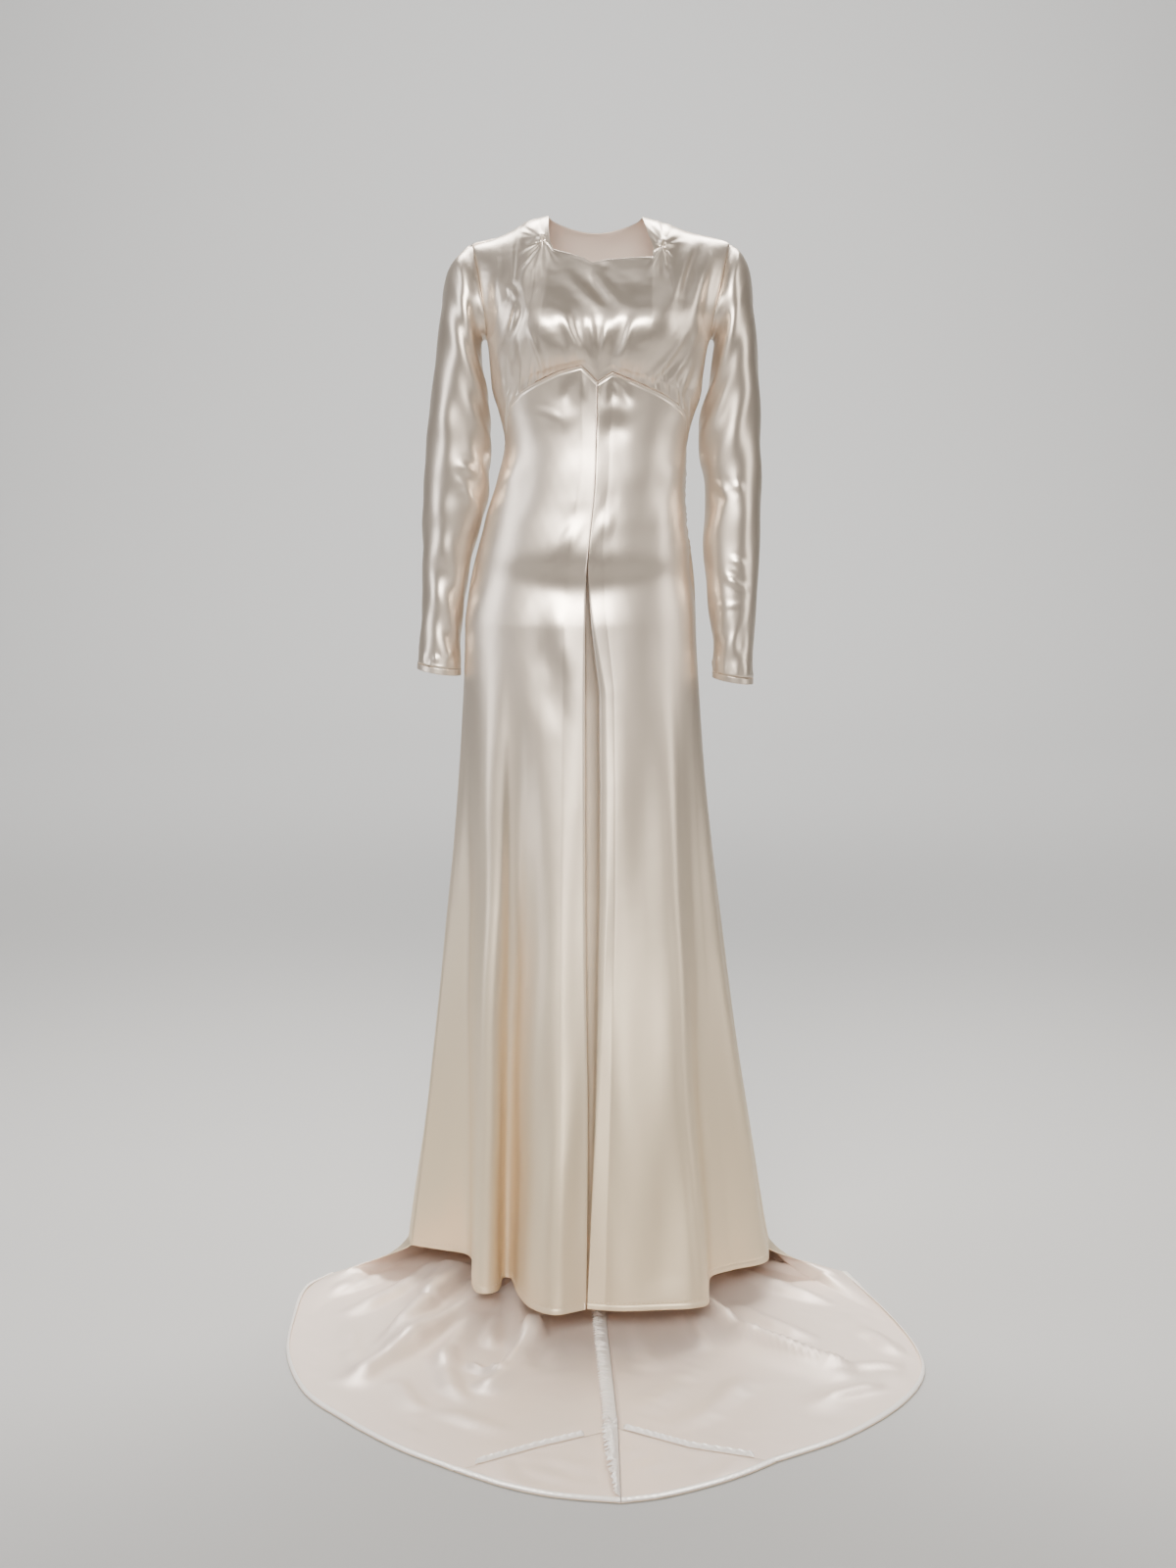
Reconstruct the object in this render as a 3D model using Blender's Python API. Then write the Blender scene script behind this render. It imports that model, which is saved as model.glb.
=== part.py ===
"""A satin wedding gown with long sleeves, a gathered bodice, a centre pleat and a train.

Worn form: the wearer faces -Y and the wearer's right is -X. Heights in the tables are from the floor;
the origin is the point between the shoulders where the wearer holds the gown up.
"""

import math

import bmesh
import bpy
import numpy as np

# Driving dimensions, metres
SHOULDER_HEIGHT = 1.470
WAIST_HEIGHT = 1.165
HIP_HEIGHT = 0.950
HEM_HEIGHT = 0.050
UNDERARM_HEIGHT = 1.320
CLOTH = 0.0016
SEAM_GAP = 0.0003
WAIST_SEAM_GAP = 0.0005
FLOOR_CLEARANCE = 0.0004
SHOULDER_ROLL = 0.090
FLARE_POWER = 1.45
CUFF_WIDTH = 0.008
GATHER_DEPTH = 0.0014
ALLOWANCE_THICKNESS = 0.0010
TRAIN_HEM_WIDTH = 0.008
CUFF_STAND = 0.0006
BACK_ALLOWANCE = 0.022
PIECING_ALLOWANCE = 0.009
WRIST_RADIUS = 0.030
BUST_CENTRES = (-0.058, 0.084)
BUST_HEIGHT = 1.340
BUST_STAND = 0.022
BUST_HALF_WIDTH = 0.052
BUST_ABOVE = 0.040
BUST_BELOW = 0.046
# The cloth puffs out over the waist seam, most at this share of the bodice's height
PUFF = 0.004
PUFF_PLACE = 0.16
PUFF_SPREAD = 0.12
# The two knots where the front is gathered beside the neck
KNOTS = ((-0.060, 1.446), (0.092, 1.441))
KNOT_REACH = 0.022

# How finely the panels are divided
SKIRT_COLUMNS = 22
BACK_COLUMNS = 16
BODICE_BACK_COLUMNS = 18
BED_ROWS = 11
TIP_ROWS = 4
TURN_STEPS = (0.3, 0.55, 0.78, 1.0)
TIP_STRETCH = 3
HEM_TIP_POINTS = 6
SIDE_FADE = 5
SEAM_FADE = 12

# Colours of the satin, linear
SATIN = (0.78, 0.69, 0.60)
SATIN_INSIDE = (0.80, 0.73, 0.68)


def table(columns, *rows):
    """A table as one array for each named column."""
    return dict(zip(columns.split(), np.array(rows, float).T))


# Horizontal sections of the figure: centre, half width, depth in front and behind, squareness of the section
TORSO = table(
    "height centre half_width front back square",
    (0.950, -0.0100, 0.1555, 0.106, 0.112, 2.1),
    (1.000, -0.0075, 0.1510, 0.104, 0.118, 2.1),
    (1.045, -0.0050, 0.1430, 0.108, 0.110, 2.1),
    (1.080, -0.0030, 0.1345, 0.104, 0.096, 2.1),
    (1.115, 0.0015, 0.1270, 0.1015, 0.084, 2.1),
    (1.150, 0.0070, 0.1235, 0.0995, 0.080, 2.2),
    (1.185, 0.0105, 0.1215, 0.0975, 0.082, 2.2),
    (1.220, 0.0120, 0.1285, 0.0975, 0.086, 2.3),
    (1.250, 0.0125, 0.1375, 0.100, 0.090, 2.3),
    (1.280, 0.0128, 0.1400, 0.105, 0.094, 2.3),
    (1.310, 0.0132, 0.1430, 0.111, 0.097, 2.4),
    (1.340, 0.0145, 0.1540, 0.111, 0.099, 2.5),
    (1.370, 0.0155, 0.1640, 0.103, 0.098, 2.6),
    (1.400, 0.0165, 0.1715, 0.092, 0.094, 2.7),
    (1.430, 0.0168, 0.1750, 0.082, 0.086, 2.7),
    (1.490, 0.0168, 0.1770, 0.072, 0.074, 2.7),
)
# The raised waist seam round the front: angle from the centre in degrees, height; its corners are sharp
WAIST_SEAM = table(
    "angle height",
    (-90, 1.165), (-82, 1.180), (-75, 1.197), (-68, 1.218), (-58, 1.238), (-46, 1.254), (-34, 1.267),
    (-21.5, 1.280), (-9, 1.2876), (0, 1.2669), (7.7, 1.2789), (18.4, 1.269), (34, 1.254), (50, 1.2386),
    (62, 1.226), (70, 1.211), (76, 1.195), (82, 1.180), (90, 1.165),
)
PEAK_RIGHT, PEAK_LEFT = -9.0, 7.7
# The top of the shoulders, from the wearer's right to left
SHOULDER = table(
    "x height",
    (-0.1526, 1.4432), (-0.1189, 1.4540), (-0.0900, 1.4680), (-0.0736, 1.4761), (-0.0516, 1.4824),
    (0.0100, 1.4840), (0.0710, 1.4812), (0.1007, 1.4723), (0.1344, 1.4609), (0.1600, 1.4550), (0.1861, 1.4495),
)
# The front neck edge between the two shoulder seams
NECK_EDGE = table(
    "x height",
    (-0.0516, 1.4824), (-0.0515, 1.4650), (-0.0494, 1.4480), (-0.0450, 1.4366), (-0.0241, 1.4310),
    (-0.0063, 1.4254), (0.0063, 1.4192), (0.0241, 1.4230), (0.0533, 1.4254), (0.0837, 1.4267),
    (0.0849, 1.4404), (0.0786, 1.4560), (0.0710, 1.4812),
)
NECK_CORNER = 0.2
# The bodice's columns lean below the neck's corners, in degrees, over this many columns beyond the corner
NECK_LEAN = 6.0
NECK_LEAN_COLUMNS = 6
LEAN_CURVE_TOP = 0.082
BACK_NECK_DROP = 0.022
BACK_NECK_CURVE = 0.6
BACK_SHOULDER_COLUMNS = 4
ON_SHOULDER = 0.004
CENTRE_BACK_X = 0.026
FLAT_BESIDE_SEAM = 0.050
FOLDS_RETURN = 0.030
WING_SHARE = 0.19
# The armhole on each side: angle from the centre, height; from the underarm to the shoulder
ARMHOLE = table(
    "angle height",
    (90, 1.320), (79, 1.330), (72, 1.348), (69, 1.366), (68, 1.384), (68, 1.402), (69.5, 1.420),
    (72, 1.436), (74.5, 1.4460),
)
# Rows of the bodice, as shares of its height: the first four climb the side seam
BODICE_ROWS = (0, 0.055, 0.13, 0.22, 0.31, 0.41, 0.51, 0.61, 0.71, 0.81, 0.91, 1)
SIDE_ROWS = 3
SIDE_SHARE = 0.22
# The centre-front line and how far the pleat stands open
CENTRE_FRONT = table(
    "height x opening",
    (0.050, -0.0027, 0.0010), (0.170, -0.0005, 0.0040), (0.310, 0.0000, 0.0090), (0.450, -0.0020, 0.0150),
    (0.590, -0.0030, 0.0200), (0.730, -0.0036, 0.0210), (0.860, -0.0038, 0.0200), (0.950, -0.0035, 0.0080),
    (1.030, -0.0010, 0.0005), (1.053, 0.0013, 0.0000), (1.129, 0.0089, 0.0000), (1.204, 0.0114, 0.0000),
    (1.290, 0.0127, 0.0000),
)
WIDEST_OPENING = 0.021
# The skirt's columns draw towards the pleat from this share of the panel's width on
PLEAT_PULL = 0.55
# How much the hem's places follow the angle of the waist, and how much they crowd at the panel's edges
FOLLOW_ANGLE = 0.15
CROWD_EDGES = 0.25
# The pleat's turned edges, beside the centre line: across and back, for the seam and for the open pleat
PLEAT_OVER = table(
    "across back",
    (-0.0020, 0.0000), (0.0000, 0.0022), (-0.0030, 0.0045), (-0.0120, 0.0048),
)
PLEAT_UNDER = table(
    "across back open_across open_back",
    (0.0030, 0.0000, 0.0290, 0.0000), (0.0010, 0.0003, 0.0210, 0.0030), (0.0005, 0.0028, 0.0140, 0.0100),
    (0.0005, 0.0055, -0.0020, 0.0150), (0.0005, 0.0080, -0.0220, 0.0165),
)
# The front hem from each side seam to the centre: share of the panel's width, place on the floor plan
HEM_RIGHT = table(
    "share x y",
    (0.00, -0.253, 0.060), (0.09, -0.210, 0.040), (0.17, -0.170, 0.018), (0.27, -0.161, -0.040),
    (0.38, -0.158, -0.105), (0.44, -0.150, -0.136), (0.49, -0.134, -0.141), (0.54, -0.121, -0.126),
    (0.61, -0.116, -0.078), (0.66, -0.106, -0.080), (0.73, -0.098, -0.128), (0.82, -0.078, -0.192),
    (0.90, -0.047, -0.222), (1.00, -0.003, -0.202),
)
HEM_LEFT = table(
    "share x y",
    (0.00, 0.257, 0.045), (0.10, 0.249, -0.012), (0.22, 0.197, -0.048), (0.30, 0.170, -0.072),
    (0.38, 0.164, -0.118), (0.46, 0.161, -0.178), (0.55, 0.143, -0.196), (0.68, 0.100, -0.203),
    (0.84, 0.045, -0.208), (1.00, 0.003, -0.200),
)
# The back panels: share of the width from the side seam, the wall at hem height, the fold on the floor,
# how far the cloth takes to lie flat, and the edge that it reaches
BACK_RIGHT = table(
    "share wall_x wall_y fold_x fold_y ease edge_x edge_y",
    (0.00, -0.253, 0.060, -0.268, 0.063, 0.050, -0.372, 0.074),
    (0.08, -0.258, 0.098, -0.274, 0.106, 0.048, -0.401, 0.010),
    (0.17, -0.249, 0.138, -0.266, 0.150, 0.042, -0.404, -0.105),
    (0.28, -0.225, 0.172, -0.239, 0.188, 0.036, -0.397, -0.235),
    (0.40, -0.188, 0.197, -0.199, 0.216, 0.032, -0.362, -0.365),
    (0.53, -0.145, 0.214, -0.153, 0.235, 0.030, -0.303, -0.457),
    (0.66, -0.102, 0.225, -0.107, 0.247, 0.028, -0.232, -0.543),
    (0.79, -0.058, 0.231, -0.060, 0.254, 0.028, -0.158, -0.610),
    (0.89, -0.026, 0.234, -0.026, 0.256, 0.028, -0.062, -0.542),
    (1.00, 0.008, 0.235, 0.014, 0.257, 0.028, 0.037, -0.482),
)
BACK_LEFT = table(
    "share wall_x wall_y fold_x fold_y ease edge_x edge_y",
    (0.00, 0.257, 0.045, 0.272, 0.050, 0.050, 0.372, 0.082),
    (0.08, 0.260, 0.092, 0.276, 0.100, 0.048, 0.394, -0.010),
    (0.17, 0.250, 0.136, 0.267, 0.148, 0.042, 0.417, -0.105),
    (0.28, 0.226, 0.171, 0.240, 0.187, 0.036, 0.436, -0.215),
    (0.40, 0.190, 0.197, 0.201, 0.216, 0.032, 0.434, -0.310),
    (0.53, 0.148, 0.214, 0.156, 0.235, 0.030, 0.392, -0.412),
    (0.66, 0.105, 0.225, 0.110, 0.247, 0.028, 0.315, -0.511),
    (0.79, 0.068, 0.231, 0.072, 0.254, 0.028, 0.225, -0.583),
    (0.89, 0.038, 0.234, 0.042, 0.256, 0.028, 0.122, -0.542),
    (1.00, 0.008, 0.235, 0.014, 0.257, 0.028, 0.037, -0.482),
)
# The row where the tip is let in, and the shares of the panel's width where its seam's points lie
TIP_CORNER = 7
TIP_SHARES = (0.79, 0.86, 0.93)
TIP_BLUNT = 0.1
# The piecing allowances stop short of the outline and of the centre-back allowance
PIECING_START = 0.12
PIECING_END = 0.96
UNDER_BACK_ALLOWANCE = 0.36
# How far the hem leans inward round the tip, as a share of its width
HEM_LEAN = 0.3
# The two pieces at the train's tip: their outer edge, from the piecing seam to the tip
TIP_RIGHT = table(
    "x y", (-0.158, -0.610), (-0.127, -0.634), (-0.091, -0.659), (-0.036, -0.684), (0.038, -0.699),
)
TIP_LEFT = table(
    "x y", (0.225, -0.583), (0.185, -0.621), (0.139, -0.655), (0.085, -0.685), (0.038, -0.699),
)
# Folds in the cloth on the floor: each row is one straight stretch, rows with the same fold number are one fold
TRAIN_FOLDS = table(
    "fold x0 y0 x1 y1 height width",
    (1, -0.200, 0.080, -0.222, -0.050, 0.020, 0.024), (1, -0.222, -0.050, -0.246, -0.200, 0.014, 0.022),
    (2, -0.150, 0.020, -0.184, -0.105, 0.014, 0.020), (2, -0.184, -0.105, -0.300, -0.325, 0.014, 0.022),
    (3, -0.140, -0.020, -0.188, -0.260, 0.010, 0.018),
    (4, -0.100, 0.000, -0.082, -0.210, 0.018, 0.018),
    (5, -0.073, -0.180, -0.088, -0.293, 0.015, 0.016), (5, -0.088, -0.293, -0.125, -0.350, 0.015, 0.018),
    (6, 0.130, 0.020, 0.160, -0.090, 0.016, 0.020), (6, 0.160, -0.090, 0.216, -0.201, 0.018, 0.020),
    (6, 0.216, -0.201, 0.325, -0.315, 0.015, 0.024),
    (7, 0.300, -0.402, 0.390, -0.318, 0.012, 0.024),
    (8, 0.105, 0.120, 0.112, -0.050, 0.012, 0.026),
    (9, -0.062, 0.130, -0.060, -0.040, 0.012, 0.024),
)
# Each sleeve by its two outlines as seen from the front, its depth and its place front to back
SLEEVE_RIGHT = table(
    "outer_x outer_z inner_x inner_z middle_y half_depth",
    (-0.1680, 1.4345, -0.1400, 1.3180, 0.002, 0.056), (-0.1815, 1.4160, -0.1410, 1.3020, 0.002, 0.056),
    (-0.1905, 1.3850, -0.1390, 1.2850, 0.002, 0.055), (-0.1960, 1.3500, -0.1350, 1.2650, 0.003, 0.054),
    (-0.2010, 1.3100, -0.1320, 1.2450, 0.004, 0.053), (-0.2065, 1.2640, -0.1300, 1.2220, 0.006, 0.052),
    (-0.2130, 1.2200, -0.1290, 1.1960, 0.008, 0.051), (-0.2170, 1.1790, -0.1305, 1.1660, 0.010, 0.050),
    (-0.2200, 1.1400, -0.1320, 1.1340, 0.012, 0.049), (-0.2225, 1.1000, -0.1370, 1.0980, 0.015, 0.047),
    (-0.2238, 1.0550, -0.1500, 1.0550, 0.018, 0.044), (-0.2241, 1.0100, -0.1610, 1.0100, 0.020, 0.041),
    (-0.2255, 0.9650, -0.1680, 0.9630, 0.020, 0.038), (-0.2274, 0.9280, -0.1720, 0.9240, 0.018, 0.036),
    (-0.2310, 0.8900, -0.1725, 0.8810, 0.016, 0.035),
)
SLEEVE_LEFT = table(
    "outer_x outer_z inner_x inner_z middle_y half_depth",
    (0.1990, 1.4370, 0.1655, 1.3180, 0.002, 0.056), (0.2110, 1.4150, 0.1660, 1.3020, 0.002, 0.056),
    (0.2175, 1.3850, 0.1640, 1.2850, 0.002, 0.055), (0.2215, 1.3500, 0.1610, 1.2650, 0.003, 0.054),
    (0.2250, 1.3100, 0.1570, 1.2480, 0.004, 0.053), (0.2280, 1.2640, 0.1500, 1.2220, 0.006, 0.052),
    (0.2300, 1.2200, 0.1460, 1.2000, 0.008, 0.051), (0.2315, 1.1790, 0.1500, 1.1660, 0.008, 0.050),
    (0.2322, 1.1400, 0.1555, 1.1370, 0.006, 0.048), (0.2323, 1.1000, 0.1565, 1.1000, 0.004, 0.046),
    (0.2312, 1.0550, 0.1538, 1.0600, 0.000, 0.043), (0.2295, 1.0150, 0.1570, 1.0120, -0.004, 0.040),
    (0.2258, 0.9680, 0.1620, 0.9630, -0.008, 0.037), (0.2235, 0.9260, 0.1675, 0.9220, -0.010, 0.035),
    (0.2225, 0.8720, 0.1680, 0.8810, -0.010, 0.034),
)


def spline(at, xs, ys):
    """A smooth curve through the points of a table, read at any place."""
    slope = np.gradient(ys, xs)
    at = np.clip(at, xs[0], xs[-1])
    i = np.clip(np.searchsorted(xs, at, side="right") - 1, 0, len(xs) - 2)
    step = xs[i + 1] - xs[i]
    t = (at - xs[i]) / step
    start = (1 + 2 * t) * (1 - t) ** 2 * ys[i] + t * (1 - t) ** 2 * step * slope[i]
    end = t * t * (3 - 2 * t) * ys[i + 1] + t * t * (t - 1) * step * slope[i + 1]
    return start + end


def read(rows, key, at, by="height"):
    """One column of a table as a smooth curve over another column."""
    return spline(np.asarray(at, float), rows[by], rows[key])


def unit(vectors):
    """Vectors of length one."""
    return vectors / np.linalg.norm(vectors, axis=-1, keepdims=True)


def points(x, y, z):
    """Points from their coordinates."""
    return np.stack(np.broadcast_arrays(x, y, z), axis=-1).astype(float)


def torso(angle, height, side="front"):
    """A point of the figure: angle in degrees from the centre, negative to the wearer's right."""
    sine = np.sin(np.radians(angle))
    square = read(TORSO, "square", height)
    x = read(TORSO, "centre", height) + read(TORSO, "half_width", height) * sine
    drop = np.clip((spline(x, SHOULDER["x"], SHOULDER["height"]) - height) / SHOULDER_ROLL, 0, 1)
    depth = read(TORSO, side, height) * np.sqrt(1 - (1 - drop) ** 2)
    y = depth * np.clip(1 - np.abs(sine) ** square, 0, 1) ** (1 / square)
    return points(x, -y if side == "front" else y, height)


def bust(place):
    """How far the gathered front stands out over the two cups, for points of the front."""
    rise = np.zeros(place.shape[:-1])
    for centre in BUST_CENTRES:
        across = (place[..., 0] - centre) / BUST_HALF_WIDTH
        up = place[..., 2] - BUST_HEIGHT
        up = up / np.where(up > 0, BUST_ABOVE, BUST_BELOW)
        rise = rise + BUST_STAND * np.exp(-(across**2) - up**2)
    return rise


def normals(grid, closed=False):
    """The direction at right angles to each point of a grid whose rows run down and columns run round."""
    if closed:
        across = np.roll(grid, -1, axis=1) - np.roll(grid, 1, axis=1)
    else:
        across = np.gradient(grid, axis=1)
    return unit(np.cross(np.gradient(grid, axis=0), across))


def flatten(direction, axis):
    """Directions turned into the plane across one axis, so that both sides of a seam share them."""
    direction = direction.copy()
    direction[..., axis] = 0
    return unit(direction)


def wall(name, outer, outward, material, thickness=CLOTH, closed=False):
    """One closed piece of cloth: the outer grid, the same grid moved inward, and the rims between."""
    rows, columns = outer.shape[:2]
    inner = outer - outward * thickness
    cloud = np.concatenate([outer.reshape(-1, 3), inner.reshape(-1, 3)])
    cloud = cloud - (0, 0, SHOULDER_HEIGHT)
    under = rows * columns
    faces = []
    for r in range(rows - 1):
        for c in range(columns if closed else columns - 1):
            a, b = r * columns + c, r * columns + (c + 1) % columns
            d, e = a + columns, b + columns
            faces.append((a, b, e, d))
            faces.append((a + under, d + under, e + under, b + under))
    for c in range(columns if closed else columns - 1):
        a, b = c, (c + 1) % columns
        faces.append((a, a + under, b + under, b))
        a, b = a + under - columns, b + under - columns
        faces.append((a, b, b + under, a + under))
    if not closed:
        for r in range(rows - 1):
            a, d = r * columns, (r + 1) * columns
            faces.append((a, d, d + under, a + under))
            a, d = a + columns - 1, d + columns - 1
            faces.append((a, a + under, d + under, d))
    mesh = bpy.data.meshes.new(name)
    mesh.from_pydata([tuple(p) for p in cloud], [], faces)
    shape = bmesh.new()
    shape.from_mesh(mesh)
    bmesh.ops.triangulate(shape, faces=shape.faces[:])
    bmesh.ops.recalc_face_normals(shape, faces=shape.faces[:])
    if shape.calc_volume(signed=True) < 0:
        bmesh.ops.reverse_faces(shape, faces=shape.faces[:])
    shape.to_mesh(mesh)
    shape.free()
    mesh.materials.append(material)
    mesh.shade_smooth()
    piece = bpy.data.objects.new(name, mesh)
    bpy.context.scene.collection.objects.link(piece)
    return piece


def satin(name, colour, roughness):
    """Woven satin: a Principled shader of one colour."""
    material = bpy.data.materials.new(name)
    material.use_nodes = True
    shader = material.node_tree.nodes["Principled BSDF"]
    shader.inputs["Base Color"].default_value = (*colour, 1)
    shader.inputs["Roughness"].default_value = roughness
    shader.inputs["Metallic"].default_value = 0
    return material


def seam_angles(side):
    """The angles of the front skirt's columns, from the side seam to the centre, through each seam corner."""
    corner = abs(PEAK_RIGHT if side < 0 else PEAK_LEFT)
    outer = np.linspace(90, corner, SKIRT_COLUMNS - 1)
    return side * np.append(np.append(outer, corner / 2), 0)


def seam_line():
    """The raised waist seam from the wearer's right side seam to the left one, as angles and heights."""
    angles = np.append(seam_angles(-1), seam_angles(1)[-2::-1])
    return np.stack([angles, np.interp(angles, WAIST_SEAM["angle"], WAIST_SEAM["height"])], axis=-1)


def seam_outward(place):
    """The level direction that both sides of the waist seam share, from the figure's section."""
    height = place[:, 2]
    x = (place[:, 0] - read(TORSO, "centre", height)) / read(TORSO, "half_width", height) ** 2
    y = place[:, 1] / read(TORSO, "front", height) ** 2
    return unit(points(x, y, 0.0))


def along(line, share):
    """Points on a line of straight stretches, by the share of its points passed."""
    at = np.asarray(share) * (len(line) - 1)
    return np.stack([np.interp(at, np.arange(len(line)), one) for one in line.T], axis=-1)


def even(line, count):
    """A line of straight stretches as points a like distance apart."""
    length = np.append(0, np.cumsum(np.linalg.norm(np.diff(line, axis=0), axis=-1)))
    at = np.linspace(0, length[-1], count + 1)
    return np.stack([np.interp(at, length, one) for one in line.T], axis=-1)


def armhole(side, half):
    """The armhole's points from the underarm up to the shoulder, on the front or the back."""
    return torso(side * ARMHOLE["angle"], ARMHOLE["height"], half)


def on_figure(x, height):
    """Places on the figure, as angles and heights, from how far across and how high they are."""
    sine = (x - read(TORSO, "centre", height)) / read(TORSO, "half_width", height)
    return np.stack([np.degrees(np.arcsin(np.clip(sine, -1, 1))), height], axis=-1)


def shoulder_seam(side):
    """The shoulder seam from the armhole to the neck, as angles and heights."""
    row = slice(0, 5) if side < 0 else slice(None, -6, -1)
    line = on_figure(SHOULDER["x"][row], SHOULDER["height"][row])
    line[0] = side * ARMHOLE["angle"][-1], ARMHOLE["height"][-1]
    return line


def bodice_side(side):
    """The bodice's side edge: up the side seam, then round the armhole to the shoulder."""
    climb = np.linspace(WAIST_HEIGHT, UNDERARM_HEIGHT, SIDE_ROWS + 1)[:-1]
    seam = np.stack([np.full(SIDE_ROWS, 90.0), climb], axis=-1)
    hole = np.stack([ARMHOLE["angle"], ARMHOLE["height"]], axis=-1)
    return np.concatenate([seam, hole]) * (side, 1)


def between_edges(bottom, top, right, left, rows, side_rows):
    """A grid of angles and heights between four edges: rows run upward, columns to the wearer's left."""
    s = np.linspace(0, 1, len(bottom))[None, :, None]
    inside = np.clip(np.minimum(s, 1 - s) / SIDE_SHARE, 0, 1)
    inside = inside * inside * (3 - 2 * inside)
    rows, side_rows = np.array(rows)[:, None, None], np.array(side_rows)[:, None, None]
    t = side_rows * (1 - inside) + rows * inside
    bow_right = right[:, None] - right[0] * (1 - side_rows) - right[-1] * side_rows
    bow_left = left[:, None] - left[0] * (1 - side_rows) - left[-1] * side_rows
    return (1 - t) * bottom + t * top + (1 - s) ** 4 * bow_right + s**4 * bow_left


def climbed(edge):
    """How far up each point of a side edge is, as a share of its climb."""
    return (edge[:, 1] - edge[0, 1]) / (edge[-1, 1] - edge[0, 1])


def bodice_front(material):
    """The front: gathered along the raised waist seam, shirred beside the neck."""
    seam = seam_line()
    count = len(seam) - 1
    centre = SKIRT_COLUMNS
    sides = np.linspace(0, centre - 2, 2 * (centre - 2) + 1)
    middle = np.linspace(centre - 2, centre + 2, 9)[1:-1]
    share = np.concatenate([sides, middle, count - sides[::-1]]) / count
    run = np.gradient(torso(*seam.T), axis=0)
    lift = WAIST_SEAM_GAP * np.linalg.norm(run, axis=-1) / np.linalg.norm(run[:, :2], axis=-1)
    bottom = along(np.stack([seam[:, 0], seam[:, 1] + lift], axis=-1), share)
    neck = even(np.stack([NECK_EDGE["x"], NECK_EDGE["height"]], axis=-1), 40)
    columns = len(bottom)
    on_shoulder = columns // 5
    neck_share = np.linspace(0, 1, columns - 2 * (on_shoulder - 1))
    top = np.concatenate([
        along(shoulder_seam(-1), np.linspace(0, 1, on_shoulder)[:-1]),
        on_figure(*along(neck, neck_share).T),
        along(shoulder_seam(1), np.linspace(1, 0, on_shoulder)[1:]),
    ])
    right, left = bodice_side(-1), bodice_side(1)
    plan = between_edges(bottom, top, right, left, BODICE_ROWS, climbed(right))
    rows = np.array(BODICE_ROWS)[:, None]
    neck_top = on_shoulder - 1
    neck_corner = neck_top + int(len(neck) * NECK_CORNER)
    stops = (0, neck_top, neck_corner, neck_corner + NECK_LEAN_COLUMNS)
    lean = np.interp(np.arange(columns), stops, (0, -1, -0.6, 0))
    lean = lean - lean[::-1]
    plan[..., 0] += NECK_LEAN * lean * rows**4 * (1 - rows) / LEAN_CURVE_TOP
    grid = torso(plan[..., 0], plan[..., 1])
    edge = np.minimum(np.arange(columns), np.arange(columns)[::-1])[None, :]
    outward = normals(grid[::-1])[::-1]
    fade = np.clip(edge / SIDE_FADE, 0, 1)
    wave = (np.arange(columns) % 2)[None, :]
    in_centre = np.clip((np.abs(np.arange(columns) - (columns - 1) / 2) - 3) / 3, 0, 1)[None, :]
    gather = GATHER_DEPTH * wave * in_centre * np.clip(1 - rows / 0.5, 0, 1)
    shirr = np.zeros(gather.shape)
    for x, height in KNOTS:
        distance = np.hypot(grid[..., 0] - x, (grid[..., 2] - height) * 0.7)
        shirr = shirr + GATHER_DEPTH * wave * np.exp(-((distance / KNOT_REACH) ** 2)) * (rows < 1)
    stand = bust(grid) + PUFF * np.exp(-(((rows - PUFF_PLACE) / PUFF_SPREAD) ** 2)) * in_centre
    grid = grid + outward * (stand * fade * np.clip(rows * SEAM_FADE, 0, 1))[..., None]
    outward = normals(grid[::-1])[::-1]
    outward[0] = flatten(outward[0], 2)
    outward[1:SIDE_ROWS, 0], outward[1:SIDE_ROWS, -1] = (-1, 0, 0), (1, 0, 0)
    outward[0, 0], outward[0, -1] = (-1, 0, 0), (1, 0, 0)
    set_armhole(outward)
    outward[-1, :on_shoulder - 1] = (0, 0, 1)
    outward[-1, -on_shoulder + 1:] = (0, 0, 1)
    outward[0, 1:-1] = seam_outward(grid[0, 1:-1])
    keep_half(grid, -SEAM_GAP / 2)
    raised = (np.minimum(gather + shirr, GATHER_DEPTH) * fade)[..., None]
    grid = grid + outward * raised
    return wall("bodice_front", grid[::-1], outward[::-1], material, CLOTH + raised[::-1])


def set_armhole(outward):
    """Turns the wall's edge at both armholes into the plane across the body."""
    for column, side in ((0, -1), (-1, 1)):
        edge = outward[SIDE_ROWS:, column]
        edge[1:] = flatten(edge[1:], 0)
        edge[0] = (side, 0, 0)
        edge[-1] = (0, 0, 1)
        outward[SIDE_ROWS:, column] = edge


def keep_half(grid, y):
    """Moves the two side edges and the shoulder edges off the seam to their own half."""
    grid[:, 0, 1] += y
    grid[:, -1, 1] += y
    grid[-1, 1:-1, 1] += np.where(np.abs(grid[-1, 1:-1, 1]) < ON_SHOULDER, y, 0)


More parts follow.
